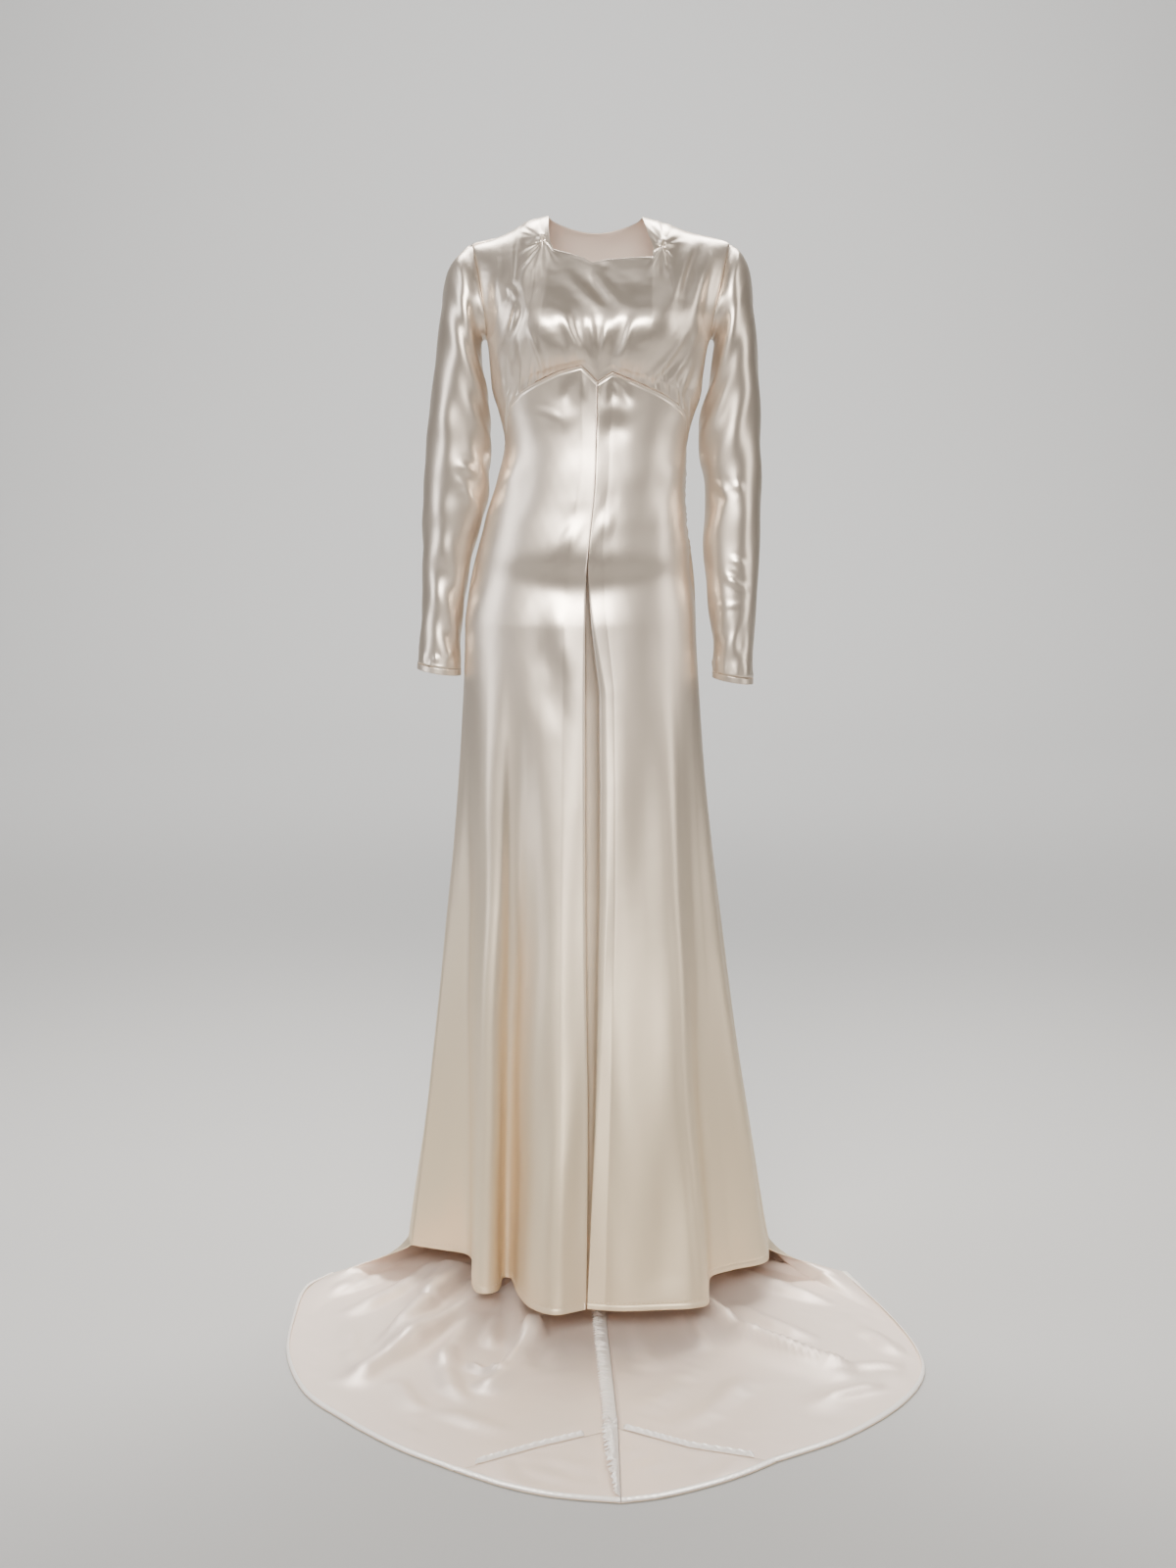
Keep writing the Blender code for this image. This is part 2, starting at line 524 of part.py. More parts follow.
def bodice_back(material):
    """The back: plain, with a shallow neck."""
    angles = np.linspace(-90, 90, BODICE_BACK_COLUMNS + 1)
    bottom = np.stack([angles, np.full(len(angles), WAIST_HEIGHT + WAIST_SEAM_GAP)], axis=-1)
    right_line, left_line = shoulder_seam(-1), shoulder_seam(1)
    neck_columns = BODICE_BACK_COLUMNS - 2 * BACK_SHOULDER_COLUMNS
    across = np.linspace(SHOULDER["x"][4], SHOULDER["x"][-5], neck_columns + 1)[1:-1]
    curve = np.sin(np.linspace(0, math.pi, neck_columns + 1)[1:-1]) ** BACK_NECK_CURVE
    neck = on_figure(across, spline(across, SHOULDER["x"], SHOULDER["height"]) - BACK_NECK_DROP * curve)
    top = np.concatenate([right_line, neck, left_line[::-1]])
    right, left = bodice_side(-1), bodice_side(1)
    plan = between_edges(bottom, top, right, left, climbed(right), climbed(right))
    grid = torso(plan[..., 0], plan[..., 1], "back")
    outward = -normals(grid[::-1])[::-1]
    outward[0] = flatten(outward[0], 2)
    outward[:SIDE_ROWS, 0], outward[:SIDE_ROWS, -1] = (-1, 0, 0), (1, 0, 0)
    set_armhole(outward)
    on_shoulder = BACK_SHOULDER_COLUMNS + 1
    outward[-1, :on_shoulder] = (0, 0, 1)
    outward[-1, -on_shoulder:] = (0, 0, 1)
    keep_half(grid, SEAM_GAP / 2)
    return wall("bodice_back", grid[::-1], outward[::-1], material)


def flare(height):
    """How far the skirt has opened from the hip (0) to the hem (1)."""
    return np.clip((HIP_HEIGHT - height) / (HIP_HEIGHT - HEM_HEIGHT), 0, 1) ** FLARE_POWER


def skirt_levels():
    """The skirt's rows as shares of the way from the waist to the hem."""
    return np.array([0, 0.045, 0.09, 0.135, 0.185, 0.24, 0.31, 0.40, 0.50, 0.60, 0.70, 0.80, 0.90, 1.0])


def skirt_front(name, side, material):
    """A front panel: smooth over the hip, then in deep folds to the hem, with its pleat edge turned."""
    angles = seam_angles(side)
    top = np.interp(angles, WAIST_SEAM["angle"], WAIST_SEAM["height"])
    heights = top[None] + (HEM_HEIGHT - top[None]) * skirt_levels()[:, None]
    share = 1 - np.abs(angles) / 90
    share = (1 - CROWD_EDGES) * share + CROWD_EDGES * (1 - np.cos(np.pi * share)) / 2
    share = np.linspace(0, 1, len(angles)) * (1 - FOLLOW_ANGLE) + share * FOLLOW_ANGLE
    hem = HEM_RIGHT if side < 0 else HEM_LEFT
    body = torso(angles[None], np.maximum(heights, HIP_HEIGHT))
    open_ = flare(heights)[..., None]
    plan = points(read(hem, "x", share, "share"), read(hem, "y", share, "share"), 0.0)[None]
    grid = body * (1 - open_) + plan * open_
    grid[..., 2] = heights
    centre = grid[:, -1].copy()
    centre[:, 0] = read(CENTRE_FRONT, "x", centre[:, 2])
    turned = pleat_edge(centre, side)
    pull = np.clip((share - PLEAT_PULL) / (1 - PLEAT_PULL), 0, 1)[None] ** 2
    grid[1:, :, 0] += (turned[1:, 0, 0] - grid[1:, -1, 0])[:, None] * pull
    grid = np.concatenate([grid[:, :-1], turned], axis=1)
    outward = normals(grid) * -side
    outward[:, 0] = (side, 0, 0)
    outward[0, 1:SKIRT_COLUMNS] = seam_outward(grid[0, 1:SKIRT_COLUMNS])
    grid[:, 0, 1] -= SEAM_GAP / 2
    return wall(name, grid, outward, material)


def pleat_edge(edge, side):
    """The columns of a front panel's turned edge at the centre line."""
    opening = np.interp(edge[:, 2], CENTRE_FRONT["height"], CENTRE_FRONT["opening"])[:, None]
    if side < 0:
        across = np.repeat(PLEAT_OVER["across"][None] - SEAM_GAP, len(edge), axis=0)
        back = PLEAT_OVER["back"][None]
    else:
        part = opening / WIDEST_OPENING
        across = PLEAT_UNDER["across"] * (1 - part) + PLEAT_UNDER["open_across"] * part + SEAM_GAP
        back = PLEAT_UNDER["back"] * (1 - part) + PLEAT_UNDER["open_back"] * part
    return points(edge[:, None, 0] + across, edge[:, None, 1] + back, edge[:, None, 2])


def relief(x, y):
    """The height of the folds in the cloth that lies on the floor."""
    total = np.zeros(np.shape(x))
    for fold in np.unique(TRAIN_FOLDS["fold"]):
        ridge = np.zeros(np.shape(x))
        for row in np.flatnonzero(TRAIN_FOLDS["fold"] == fold):
            keys = "x0 y0 x1 y1 height width".split()
            x0, y0, x1, y1, high, wide = (TRAIN_FOLDS[key][row] for key in keys)
            run = np.array((x1 - x0, y1 - y0))
            t = np.clip(((x - x0) * run[0] + (y - y0) * run[1]) / (run @ run), 0, 1)
            away = np.hypot(x - x0 - t * run[0], y - y0 - t * run[1])
            ridge = np.maximum(ridge, high * np.exp(-((away / wide) ** 2)))
        total = total + ridge
    seam = np.clip((np.abs(x - CENTRE_BACK_X) - FLAT_BESIDE_SEAM) / FOLDS_RETURN, 0, 1)
    return total * seam


def train_edge(rows, share):
    """The train's outline by the share of a back panel's width, with a corner where the tip is let in."""
    line = []
    for key in ("edge_x", "edge_y"):
        outline = spline(share, rows["share"][:TIP_CORNER + 1], rows[key][:TIP_CORNER + 1])
        seam = np.interp(share, rows["share"][TIP_CORNER:], rows[key][TIP_CORNER:])
        line.append(np.where(share < rows["share"][TIP_CORNER], outline, seam))
    return points(*line, FLOOR_CLEARANCE)


def back_grid(side):
    """The points of a back panel: down the wall, round the fold, along the floor to the train's edge."""
    rows = BACK_RIGHT if side < 0 else BACK_LEFT
    share = np.linspace(0, 1, BACK_COLUMNS + 1)
    share[-4:-1] = TIP_SHARES
    place = {key: read(rows, key, share, "share") for key in rows}
    angles = side * (90 - 90 * share)
    heights = (WAIST_HEIGHT + (HEM_HEIGHT - WAIST_HEIGHT) * skirt_levels())[:, None]
    body = torso(angles[None], np.maximum(heights, HIP_HEIGHT), "back")
    foot = points(place["wall_x"], place["wall_y"], HEM_HEIGHT)[None]
    open_ = flare(heights)[..., None]
    down = body * (1 - open_) + foot * open_
    down[..., 2] = heights
    start = down[-1]
    fold = points(place["fold_x"], place["fold_y"], FLOOR_CLEARANCE)
    edge = train_edge(rows, share)
    flat = fold + unit(edge - fold) * place["ease"][:, None]
    turn = np.array(TURN_STEPS)[:, None, None]
    round_ = (1 - turn) ** 2 * start + 2 * turn * (1 - turn) * fold + turn**2 * flat
    rest = np.linspace(0, 1, BED_ROWS + 1)[1:, None]
    length = np.linalg.norm(edge - flat, axis=-1)
    band = TRAIN_HEM_WIDTH / length
    rest = np.concatenate([rest[:-1] * (1 - band), (1 - band)[None], rest[-1:] * np.ones(len(band))])
    bed = flat + (edge - flat) * rest[..., None]
    grid = np.concatenate([down, round_, bed])
    bedded = 1 - np.linspace(0, 1, BED_ROWS) ** 4
    lying = np.concatenate([np.zeros(len(down)), (0, 0.1, 0.4, 0.8), bedded, (0,)])
    grid[..., 2] += relief(grid[..., 0], grid[..., 1]) * lying[:, None]
    floor = grid[len(down):]
    left = np.linalg.norm(floor - floor[-1], axis=-1) / np.linalg.norm(start - floor[-1], axis=-1)
    wing = np.clip(1 - share / WING_SHARE, 0, 1)
    floor[..., 2] += (HEM_HEIGHT * left - floor[..., 2] + FLOOR_CLEARANCE) * wing * (left > 0)
    return grid


def skirt_back(name, side, material):
    """A back panel with its half of the train, whose inside faces up on the floor."""
    grid = back_grid(side)
    outward = normals(grid) * side
    outward[:len(skirt_levels()), 0] = (side, 0, 0)
    outward[0] = flatten(outward[0], 2)
    outward[:, -1] = flatten(outward[:, -1], 0)
    grid[:len(skirt_levels()), 0, 1] += SEAM_GAP / 2
    grid[:, -1, 0] += side * SEAM_GAP / 2
    return wall(name, grid, outward, material)


def sleeve_rings(side):
    """The sleeve's rings from the armhole to the wrist; each starts at the top and runs round the front."""
    rows = SLEEVE_RIGHT if side < 0 else SLEEVE_LEFT
    hole = np.concatenate([armhole(side, "front")[::-1], armhole(side, "back")[1:-1]])
    hole[0, 1] = 0
    hole[:, 0] += side * 2 * SEAM_GAP
    angle = np.linspace(0, 2 * math.pi, len(hole) + 1)[:-1]
    outer = points(rows["outer_x"], 0.0, rows["outer_z"])[:, None]
    inner = points(rows["inner_x"], 0.0, rows["inner_z"])[:, None]
    swing = ((1 + np.cos(angle)) / 2)[None, :, None]
    rings = inner + (outer - inner) * swing
    rings[..., 1] = rows["middle_y"][:, None] - rows["half_depth"][:, None] * np.sin(angle)
    return np.concatenate([hole[None], rings])


def sleeve(name, side, material):
    """A long sleeve, open at the armhole and the wrist."""
    grid = sleeve_rings(side)
    outward = normals(grid, closed=True) * -side
    middle = (grid[0].max(axis=0) + grid[0].min(axis=0)) / 2
    outward[0] = flatten(grid[0] - middle, 0)
    return wall(name, grid, outward, material, closed=True)


def cuff(name, side, material):
    """The narrow binding that carries on from the sleeve at the wrist."""
    last, before = sleeve_rings(side)[[-1, -2]]
    middle = last.mean(axis=0)
    down = unit((last - before).mean(axis=0))
    start = middle + (last - middle) * (1 + CUFF_STAND / WRIST_RADIUS) + down * SEAM_GAP * 2
    grid = start + down * (np.linspace(0, CUFF_WIDTH, 3)[:, None, None])
    outward = normals(grid, closed=True) * -side
    return wall(name, grid, outward, material, CLOTH + CUFF_STAND, closed=True)


def train_tip(name, side, material):
    """The piece let in at the tip of the train."""
    last = back_grid(side)[-1, -4:]
    rows = TIP_RIGHT if side < 0 else TIP_LEFT
    share = np.linspace(0, 1, 3 * TIP_STRETCH + 1)
    seam = along(last, share)
    count = np.linspace(0, 1, len(rows["x"]))
    edge = points(spline(share, count, rows["x"]), spline(share, count, rows["y"]), FLOOR_CLEARANCE)
    depth = np.linspace(0, 1, TIP_ROWS + 1)[:, None, None]
    seam = seam + unit(edge[1:].mean(axis=0) - seam[1:].mean(axis=0)) * 2 * SEAM_GAP
    edge[0] = edge[0] + (edge[1] - edge[0]) * TIP_BLUNT
    grid = seam + (edge - seam) * depth
    outward = np.zeros(grid.shape)
    outward[..., 2] = -1
    grid[:, -1, 0] += side * SEAM_GAP / 2
    return wall(name, grid, outward, material)


def strip_on_train(name, line, inner, material):
    """A narrow strip of cloth that lies on the train's upturned inside."""
    lift = CLOTH + SEAM_GAP + ALLOWANCE_THICKNESS
    grid = np.stack([line, (line + inner) / 2, inner]) + (0, 0, lift)
    outward = np.zeros(grid.shape)
    outward[..., 2] = 1
    return wall(name, grid, outward, material, ALLOWANCE_THICKNESS)


def back_seam_allowance(material):
    """The centre-back seam's allowance, pressed towards the wearer's right."""
    grid = back_grid(-1)[len(skirt_levels()) + len(TURN_STEPS) + 1:]
    line, beside = grid[:, -1], grid[:, -2]
    width = np.linalg.norm(beside - line, axis=-1, keepdims=True)
    inner = line + (beside - line) * np.minimum(BACK_ALLOWANCE / width, 0.9)
    tip = points(TIP_RIGHT["x"][-1] - SEAM_GAP, TIP_RIGHT["y"][-1] + 2 * TRAIN_HEM_WIDTH, FLOOR_CLEARANCE)
    line = np.concatenate([line, [(line[-1] + tip) / 2, tip]])
    more = line[-2:] - points(BACK_ALLOWANCE * np.array((0.8, 0.35)), 0, 0)
    inner = np.concatenate([inner, more])
    return strip_on_train("back_seam_allowance", line - (2 * SEAM_GAP, 0, 0), inner, material)


def piecing_allowance(name, side, material):
    """The allowance along a piecing seam, pressed towards the body of the train."""
    line = back_grid(side)[-1, -4:].copy()
    end = PIECING_END - UNDER_BACK_ALLOWANCE * (side < 0)
    line = along(line, np.linspace(PIECING_START, end, 7))
    return strip_on_train(name, line, line + (0, PIECING_ALLOWANCE, 0), material)


def train_hem(name, side, material):
    """The narrow turned hem along the train's outline."""
    grid = back_grid(side)
    line, inner = grid[-1, :-3], grid[-2, :-3]
    rows = TIP_RIGHT if side < 0 else TIP_LEFT
    share = np.linspace(0, 1, HEM_TIP_POINTS + 1)[1:]
    count = np.linspace(0, 1, len(rows["x"]))
    more = points(spline(share, count, rows["x"]), spline(share, count, rows["y"]), FLOOR_CLEARANCE)
    more[-1, 0] += side * 2 * SEAM_GAP
    line = np.concatenate([line, more])
    lean = -side * HEM_LEAN * TRAIN_HEM_WIDTH * (1 - share**3)
    inner = np.concatenate([inner, more + points(lean, TRAIN_HEM_WIDTH, 0)])
    return strip_on_train(name, line, inner, material)


def main():
    """Builds the gown."""
    for old in list(bpy.data.objects):
        bpy.data.objects.remove(old, do_unlink=True)
    cloth = satin("satin_right_side", SATIN, 0.32)
    bodice_front(cloth)
    bodice_back(cloth)
    skirt_front("skirt_front_right", -1, cloth)
    skirt_front("skirt_front_left", 1, cloth)
    skirt_back("skirt_back_right", -1, cloth)
    skirt_back("skirt_back_left", 1, cloth)
    sleeve("sleeve_right", -1, cloth)
    sleeve("sleeve_left", 1, cloth)
    cuff("cuff_right", -1, cloth)
    cuff("cuff_left", 1, cloth)
    inside = satin("satin_wrong_side", SATIN_INSIDE, 0.4)
    train_tip("train_tip_right", -1, inside)
    train_tip("train_tip_left", 1, inside)
    back_seam_allowance(inside)
    piecing_allowance("piecing_allowance_right", -1, inside)
    piecing_allowance("piecing_allowance_left", 1, inside)
    train_hem("train_hem_right", -1, inside)
    train_hem("train_hem_left", 1, inside)


main()
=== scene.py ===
import math

import bmesh
import bpy
import numpy as np
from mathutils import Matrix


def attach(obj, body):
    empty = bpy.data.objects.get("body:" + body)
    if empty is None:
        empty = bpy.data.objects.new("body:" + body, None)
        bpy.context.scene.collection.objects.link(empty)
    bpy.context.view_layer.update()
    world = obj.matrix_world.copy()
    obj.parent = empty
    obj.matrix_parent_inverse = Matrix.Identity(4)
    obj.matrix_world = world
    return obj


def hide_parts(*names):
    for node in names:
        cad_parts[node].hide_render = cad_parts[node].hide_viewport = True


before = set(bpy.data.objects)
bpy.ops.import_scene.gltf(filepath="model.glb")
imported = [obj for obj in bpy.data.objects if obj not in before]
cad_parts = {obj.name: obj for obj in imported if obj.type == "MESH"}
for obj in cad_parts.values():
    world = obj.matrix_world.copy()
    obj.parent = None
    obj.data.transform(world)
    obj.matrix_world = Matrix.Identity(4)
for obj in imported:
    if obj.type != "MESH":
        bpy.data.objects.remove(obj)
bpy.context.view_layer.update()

# The gown's sizes, in metres. Heights are from the floor and the frame's origin is at the shoulders.
SHOULDER_HEIGHT = 1.470
WAIST_HEIGHT = 1.165
HIP_HEIGHT = 0.950
HEM_HEIGHT = 0.050
UNDERARM_HEIGHT = 1.320
SEAM_GAP = 0.0003
WAIST_SEAM_GAP = 0.0005
FLOOR_CLEARANCE = 0.0004
SHOULDER_ROLL = 0.090
FLARE_POWER = 1.45
CUFF_WIDTH = 0.008
CUFF_STAND = 0.0006
TRAIN_HEM_WIDTH = 0.008
BACK_ALLOWANCE = 0.022
PIECING_ALLOWANCE = 0.009
PIECING_START = 0.12
PIECING_END = 0.96
UNDER_BACK_ALLOWANCE = 0.36
BUST_HEIGHT = 1.340
BUST_ABOVE = 0.040
BUST_BELOW = 0.046
NECK_LEAN = 6.0
BACK_NECK_DROP = 0.022
CENTRE_BACK_X = 0.026
FLAT_BESIDE_SEAM = 0.050
WING_SHARE = 0.19
SKIRT_COLUMNS = 22
SIDE_ROWS = 3
SIDE_SHARE = 0.22

# The cloth: satin of about 0.35 mm drawn a little thicker, so that its edges show
CLOTH = 0.0007
DOUBLE_CLOTH = 0.0016
FRONT_HEM_WIDTH = 0.008
TURNED = 14

# The camera stands where the picture was taken from
CAMERA_PLACE = (0.0, -3.60, 1.30)
CAMERA_TILT = 9.085
CAMERA_LENS = 61.47


def table(columns, *rows):
    """A table as one array for each named column."""
    return dict(zip(columns.split(), np.array(rows, float).T))


# Horizontal sections of the figure: centre, half width, depth in front and behind, squareness of the section
TORSO = table(
    "height centre half_width front back square",
    (0.950, -0.0100, 0.1555, 0.106, 0.112, 2.1),
    (1.000, -0.0075, 0.1510, 0.104, 0.118, 2.1),
    (1.045, -0.0050, 0.1430, 0.108, 0.110, 2.1),
    (1.080, -0.0030, 0.1345, 0.104, 0.096, 2.1),
    (1.115, 0.0015, 0.1270, 0.1015, 0.084, 2.1),
    (1.150, 0.0070, 0.1235, 0.0995, 0.080, 2.2),
    (1.185, 0.0105, 0.1215, 0.0975, 0.082, 2.2),
    (1.220, 0.0120, 0.1285, 0.0975, 0.086, 2.3),
    (1.250, 0.0125, 0.1375, 0.100, 0.090, 2.3),
    (1.280, 0.0128, 0.1400, 0.105, 0.094, 2.3),
    (1.310, 0.0132, 0.1430, 0.111, 0.097, 2.4),
    (1.340, 0.0145, 0.1540, 0.111, 0.099, 2.5),
    (1.370, 0.0155, 0.1640, 0.103, 0.098, 2.6),
    (1.400, 0.0165, 0.1715, 0.092, 0.094, 2.7),
    (1.430, 0.0168, 0.1750, 0.082, 0.086, 2.7),
    (1.490, 0.0168, 0.1770, 0.072, 0.074, 2.7),
)
# The raised waist seam round the front: angle from the centre in degrees, height. Its corners stay sharp.
WAIST_SEAM = table(
    "angle height",
    (-90, 1.165), (-82, 1.180), (-75, 1.197), (-68, 1.218), (-58, 1.238), (-46, 1.254), (-34, 1.267),
    (-21.5, 1.280), (-9, 1.2876), (0, 1.2669), (7.7, 1.2789), (18.4, 1.269), (34, 1.254), (50, 1.2386),
    (62, 1.226), (70, 1.211), (76, 1.195), (82, 1.180), (90, 1.165),
)
PEAK_RIGHT, PEAK_LEFT = -9.0, 7.7
# The top of the shoulders, from the wearer's right to left
SHOULDER = table(
    "x height",
    (-0.1526, 1.4432), (-0.1189, 1.4540), (-0.0900, 1.4680), (-0.0736, 1.4761), (-0.0516, 1.4824),
    (0.0100, 1.4840), (0.0710, 1.4812), (0.1007, 1.4723), (0.1344, 1.4609), (0.1600, 1.4550), (0.1861, 1.4495),
)
# The front neck edge between the two shoulder seams
NECK_EDGE = table(
    "x height",
    (-0.0516, 1.4824), (-0.0515, 1.4650), (-0.0494, 1.4480), (-0.0450, 1.4366), (-0.0241, 1.4310),
    (-0.0063, 1.4254), (0.0063, 1.4192), (0.0241, 1.4230), (0.0533, 1.4254), (0.0837, 1.4267),
    (0.0849, 1.4404), (0.0786, 1.4560), (0.0710, 1.4812),
)
# The armhole on each side: angle from the centre, height; from the underarm to the shoulder
ARMHOLE = table(
    "angle height",
    (90, 1.320), (79, 1.330), (72, 1.348), (69, 1.366), (68, 1.384), (68, 1.402), (69.5, 1.420),
    (72, 1.436), (74.5, 1.4460),
)
# Rows of the bodice, as shares of its height: the first four climb the side seam
BODICE_ROWS = (0, 0.055, 0.13, 0.22, 0.31, 0.41, 0.51, 0.61, 0.71, 0.81, 0.91, 1)
# The centre-front line and how far the pleat stands open
CENTRE_FRONT = table(
    "height x opening",
    (0.050, -0.0027, 0.0010), (0.170, -0.0005, 0.0040), (0.310, 0.0000, 0.0090), (0.450, -0.0020, 0.0150),
    (0.590, -0.0030, 0.0200), (0.730, -0.0036, 0.0210), (0.860, -0.0038, 0.0200), (0.950, -0.0035, 0.0080),
    (1.030, -0.0010, 0.0005), (1.053, 0.0013, 0.0000), (1.129, 0.0089, 0.0000), (1.204, 0.0114, 0.0000),
    (1.290, 0.0127, 0.0000),
)
WIDEST_OPENING = 0.021
# The pleat's turned edges, beside the centre line: across and back, for the seam and for the open pleat
PLEAT_OVER = table(
    "across back",
    (-0.0020, 0.0000), (0.0000, 0.0022), (-0.0030, 0.0045), (-0.0120, 0.0048),
)
PLEAT_UNDER = table(
    "across back open_across open_back",
    (0.0030, 0.0000, 0.0290, 0.0000), (0.0010, 0.0003, 0.0210, 0.0030), (0.0005, 0.0028, 0.0140, 0.0100),
    (0.0005, 0.0055, -0.0020, 0.0150), (0.0005, 0.0080, -0.0220, 0.0165),
)
# The front hem from each side seam to the centre: share of the panel's width, place on the floor plan
HEM_RIGHT = table(
    "share x y",
    (0.00, -0.253, 0.060), (0.09, -0.210, 0.040), (0.17, -0.170, 0.018), (0.27, -0.161, -0.040),
    (0.38, -0.158, -0.105), (0.44, -0.150, -0.136), (0.49, -0.134, -0.141), (0.54, -0.121, -0.126),
    (0.61, -0.116, -0.078), (0.66, -0.106, -0.080), (0.73, -0.098, -0.128), (0.82, -0.078, -0.192),
    (0.90, -0.047, -0.222), (1.00, -0.003, -0.202),
)
HEM_LEFT = table(
    "share x y",
    (0.00, 0.257, 0.045), (0.10, 0.249, -0.012), (0.22, 0.197, -0.048), (0.30, 0.170, -0.072),
    (0.38, 0.164, -0.118), (0.46, 0.161, -0.178), (0.55, 0.143, -0.196), (0.68, 0.100, -0.203),
    (0.84, 0.045, -0.208), (1.00, 0.003, -0.200),
)
# The back panels: share of the width from the side seam, the wall at hem height, the fold on the floor,
# how far the cloth takes to lie flat, and the edge that it reaches
BACK_RIGHT = table(
    "share wall_x wall_y fold_x fold_y ease edge_x edge_y",
    (0.00, -0.253, 0.060, -0.268, 0.063, 0.050, -0.372, 0.074),
    (0.08, -0.258, 0.098, -0.274, 0.106, 0.048, -0.401, 0.010),
    (0.17, -0.249, 0.138, -0.266, 0.150, 0.042, -0.404, -0.105),
    (0.28, -0.225, 0.172, -0.239, 0.188, 0.036, -0.397, -0.235),
    (0.40, -0.188, 0.197, -0.199, 0.216, 0.032, -0.362, -0.365),
    (0.53, -0.145, 0.214, -0.153, 0.235, 0.030, -0.303, -0.457),
    (0.66, -0.102, 0.225, -0.107, 0.247, 0.028, -0.232, -0.543),
    (0.79, -0.058, 0.231, -0.060, 0.254, 0.028, -0.158, -0.610),
    (0.89, -0.026, 0.234, -0.026, 0.256, 0.028, -0.062, -0.542),
    (1.00, 0.008, 0.235, 0.014, 0.257, 0.028, 0.037, -0.482),
)
BACK_LEFT = table(
    "share wall_x wall_y fold_x fold_y ease edge_x edge_y",
    (0.00, 0.257, 0.045, 0.272, 0.050, 0.050, 0.372, 0.082),
    (0.08, 0.260, 0.092, 0.276, 0.100, 0.048, 0.394, -0.010),
    (0.17, 0.250, 0.136, 0.267, 0.148, 0.042, 0.417, -0.105),
    (0.28, 0.226, 0.171, 0.240, 0.187, 0.036, 0.436, -0.215),
    (0.40, 0.190, 0.197, 0.201, 0.216, 0.032, 0.434, -0.310),
    (0.53, 0.148, 0.214, 0.156, 0.235, 0.030, 0.392, -0.412),
    (0.66, 0.105, 0.225, 0.110, 0.247, 0.028, 0.315, -0.511),
    (0.79, 0.068, 0.231, 0.072, 0.254, 0.028, 0.225, -0.583),
    (0.89, 0.038, 0.234, 0.042, 0.256, 0.028, 0.122, -0.542),
    (1.00, 0.008, 0.235, 0.014, 0.257, 0.028, 0.037, -0.482),
)
# The two pieces at the train's tip: their outer edge, from the piecing seam to the tip
TIP_RIGHT = table(
    "x y", (-0.158, -0.610), (-0.127, -0.634), (-0.091, -0.659), (-0.036, -0.684), (0.038, -0.699),
)
TIP_LEFT = table(
    "x y", (0.225, -0.583), (0.185, -0.621), (0.139, -0.655), (0.085, -0.685), (0.038, -0.699),
)
# Folds in the cloth on the floor: each row is one straight stretch, rows with the same fold number are one fold
TRAIN_FOLDS = table(
    "fold x0 y0 x1 y1 height width",
    (1, -0.200, 0.080, -0.222, -0.050, 0.020, 0.024), (1, -0.222, -0.050, -0.246, -0.200, 0.014, 0.022),
    (2, -0.150, 0.020, -0.184, -0.105, 0.014, 0.020), (2, -0.184, -0.105, -0.300, -0.325, 0.014, 0.022),
    (3, -0.140, -0.020, -0.188, -0.260, 0.010, 0.018),
    (4, -0.100, 0.000, -0.082, -0.210, 0.018, 0.018),
    (5, -0.073, -0.180, -0.088, -0.293, 0.015, 0.016), (5, -0.088, -0.293, -0.125, -0.350, 0.015, 0.018),
    (6, 0.130, 0.020, 0.160, -0.090, 0.016, 0.020), (6, 0.160, -0.090, 0.216, -0.201, 0.018, 0.020),
    (6, 0.216, -0.201, 0.325, -0.315, 0.015, 0.024),
    (7, 0.300, -0.402, 0.390, -0.318, 0.012, 0.024),
    (8, 0.105, 0.120, 0.112, -0.050, 0.012, 0.026),
    (9, -0.062, 0.130, -0.060, -0.040, 0.012, 0.024),
)
# Each sleeve by its two outlines as seen from the front, its depth and its place front to back
SLEEVE_RIGHT = table(
    "outer_x outer_z inner_x inner_z middle_y half_depth",
    (-0.1680, 1.4345, -0.1400, 1.3180, 0.002, 0.056), (-0.1815, 1.4160, -0.1410, 1.3020, 0.002, 0.056),
    (-0.1905, 1.3850, -0.1390, 1.2850, 0.002, 0.055), (-0.1960, 1.3500, -0.1350, 1.2650, 0.003, 0.054),
    (-0.2010, 1.3100, -0.1320, 1.2450, 0.004, 0.053), (-0.2065, 1.2640, -0.1300, 1.2220, 0.006, 0.052),
    (-0.2130, 1.2200, -0.1290, 1.1960, 0.008, 0.051), (-0.2170, 1.1790, -0.1305, 1.1660, 0.010, 0.050),
    (-0.2200, 1.1400, -0.1320, 1.1340, 0.012, 0.049), (-0.2225, 1.1000, -0.1370, 1.0980, 0.015, 0.047),
    (-0.2238, 1.0550, -0.1500, 1.0550, 0.018, 0.044), (-0.2241, 1.0100, -0.1610, 1.0100, 0.020, 0.041),
    (-0.2255, 0.9650, -0.1680, 0.9630, 0.020, 0.038), (-0.2274, 0.9280, -0.1720, 0.9240, 0.018, 0.036),
    (-0.2310, 0.8900, -0.1725, 0.8810, 0.016, 0.035),
)
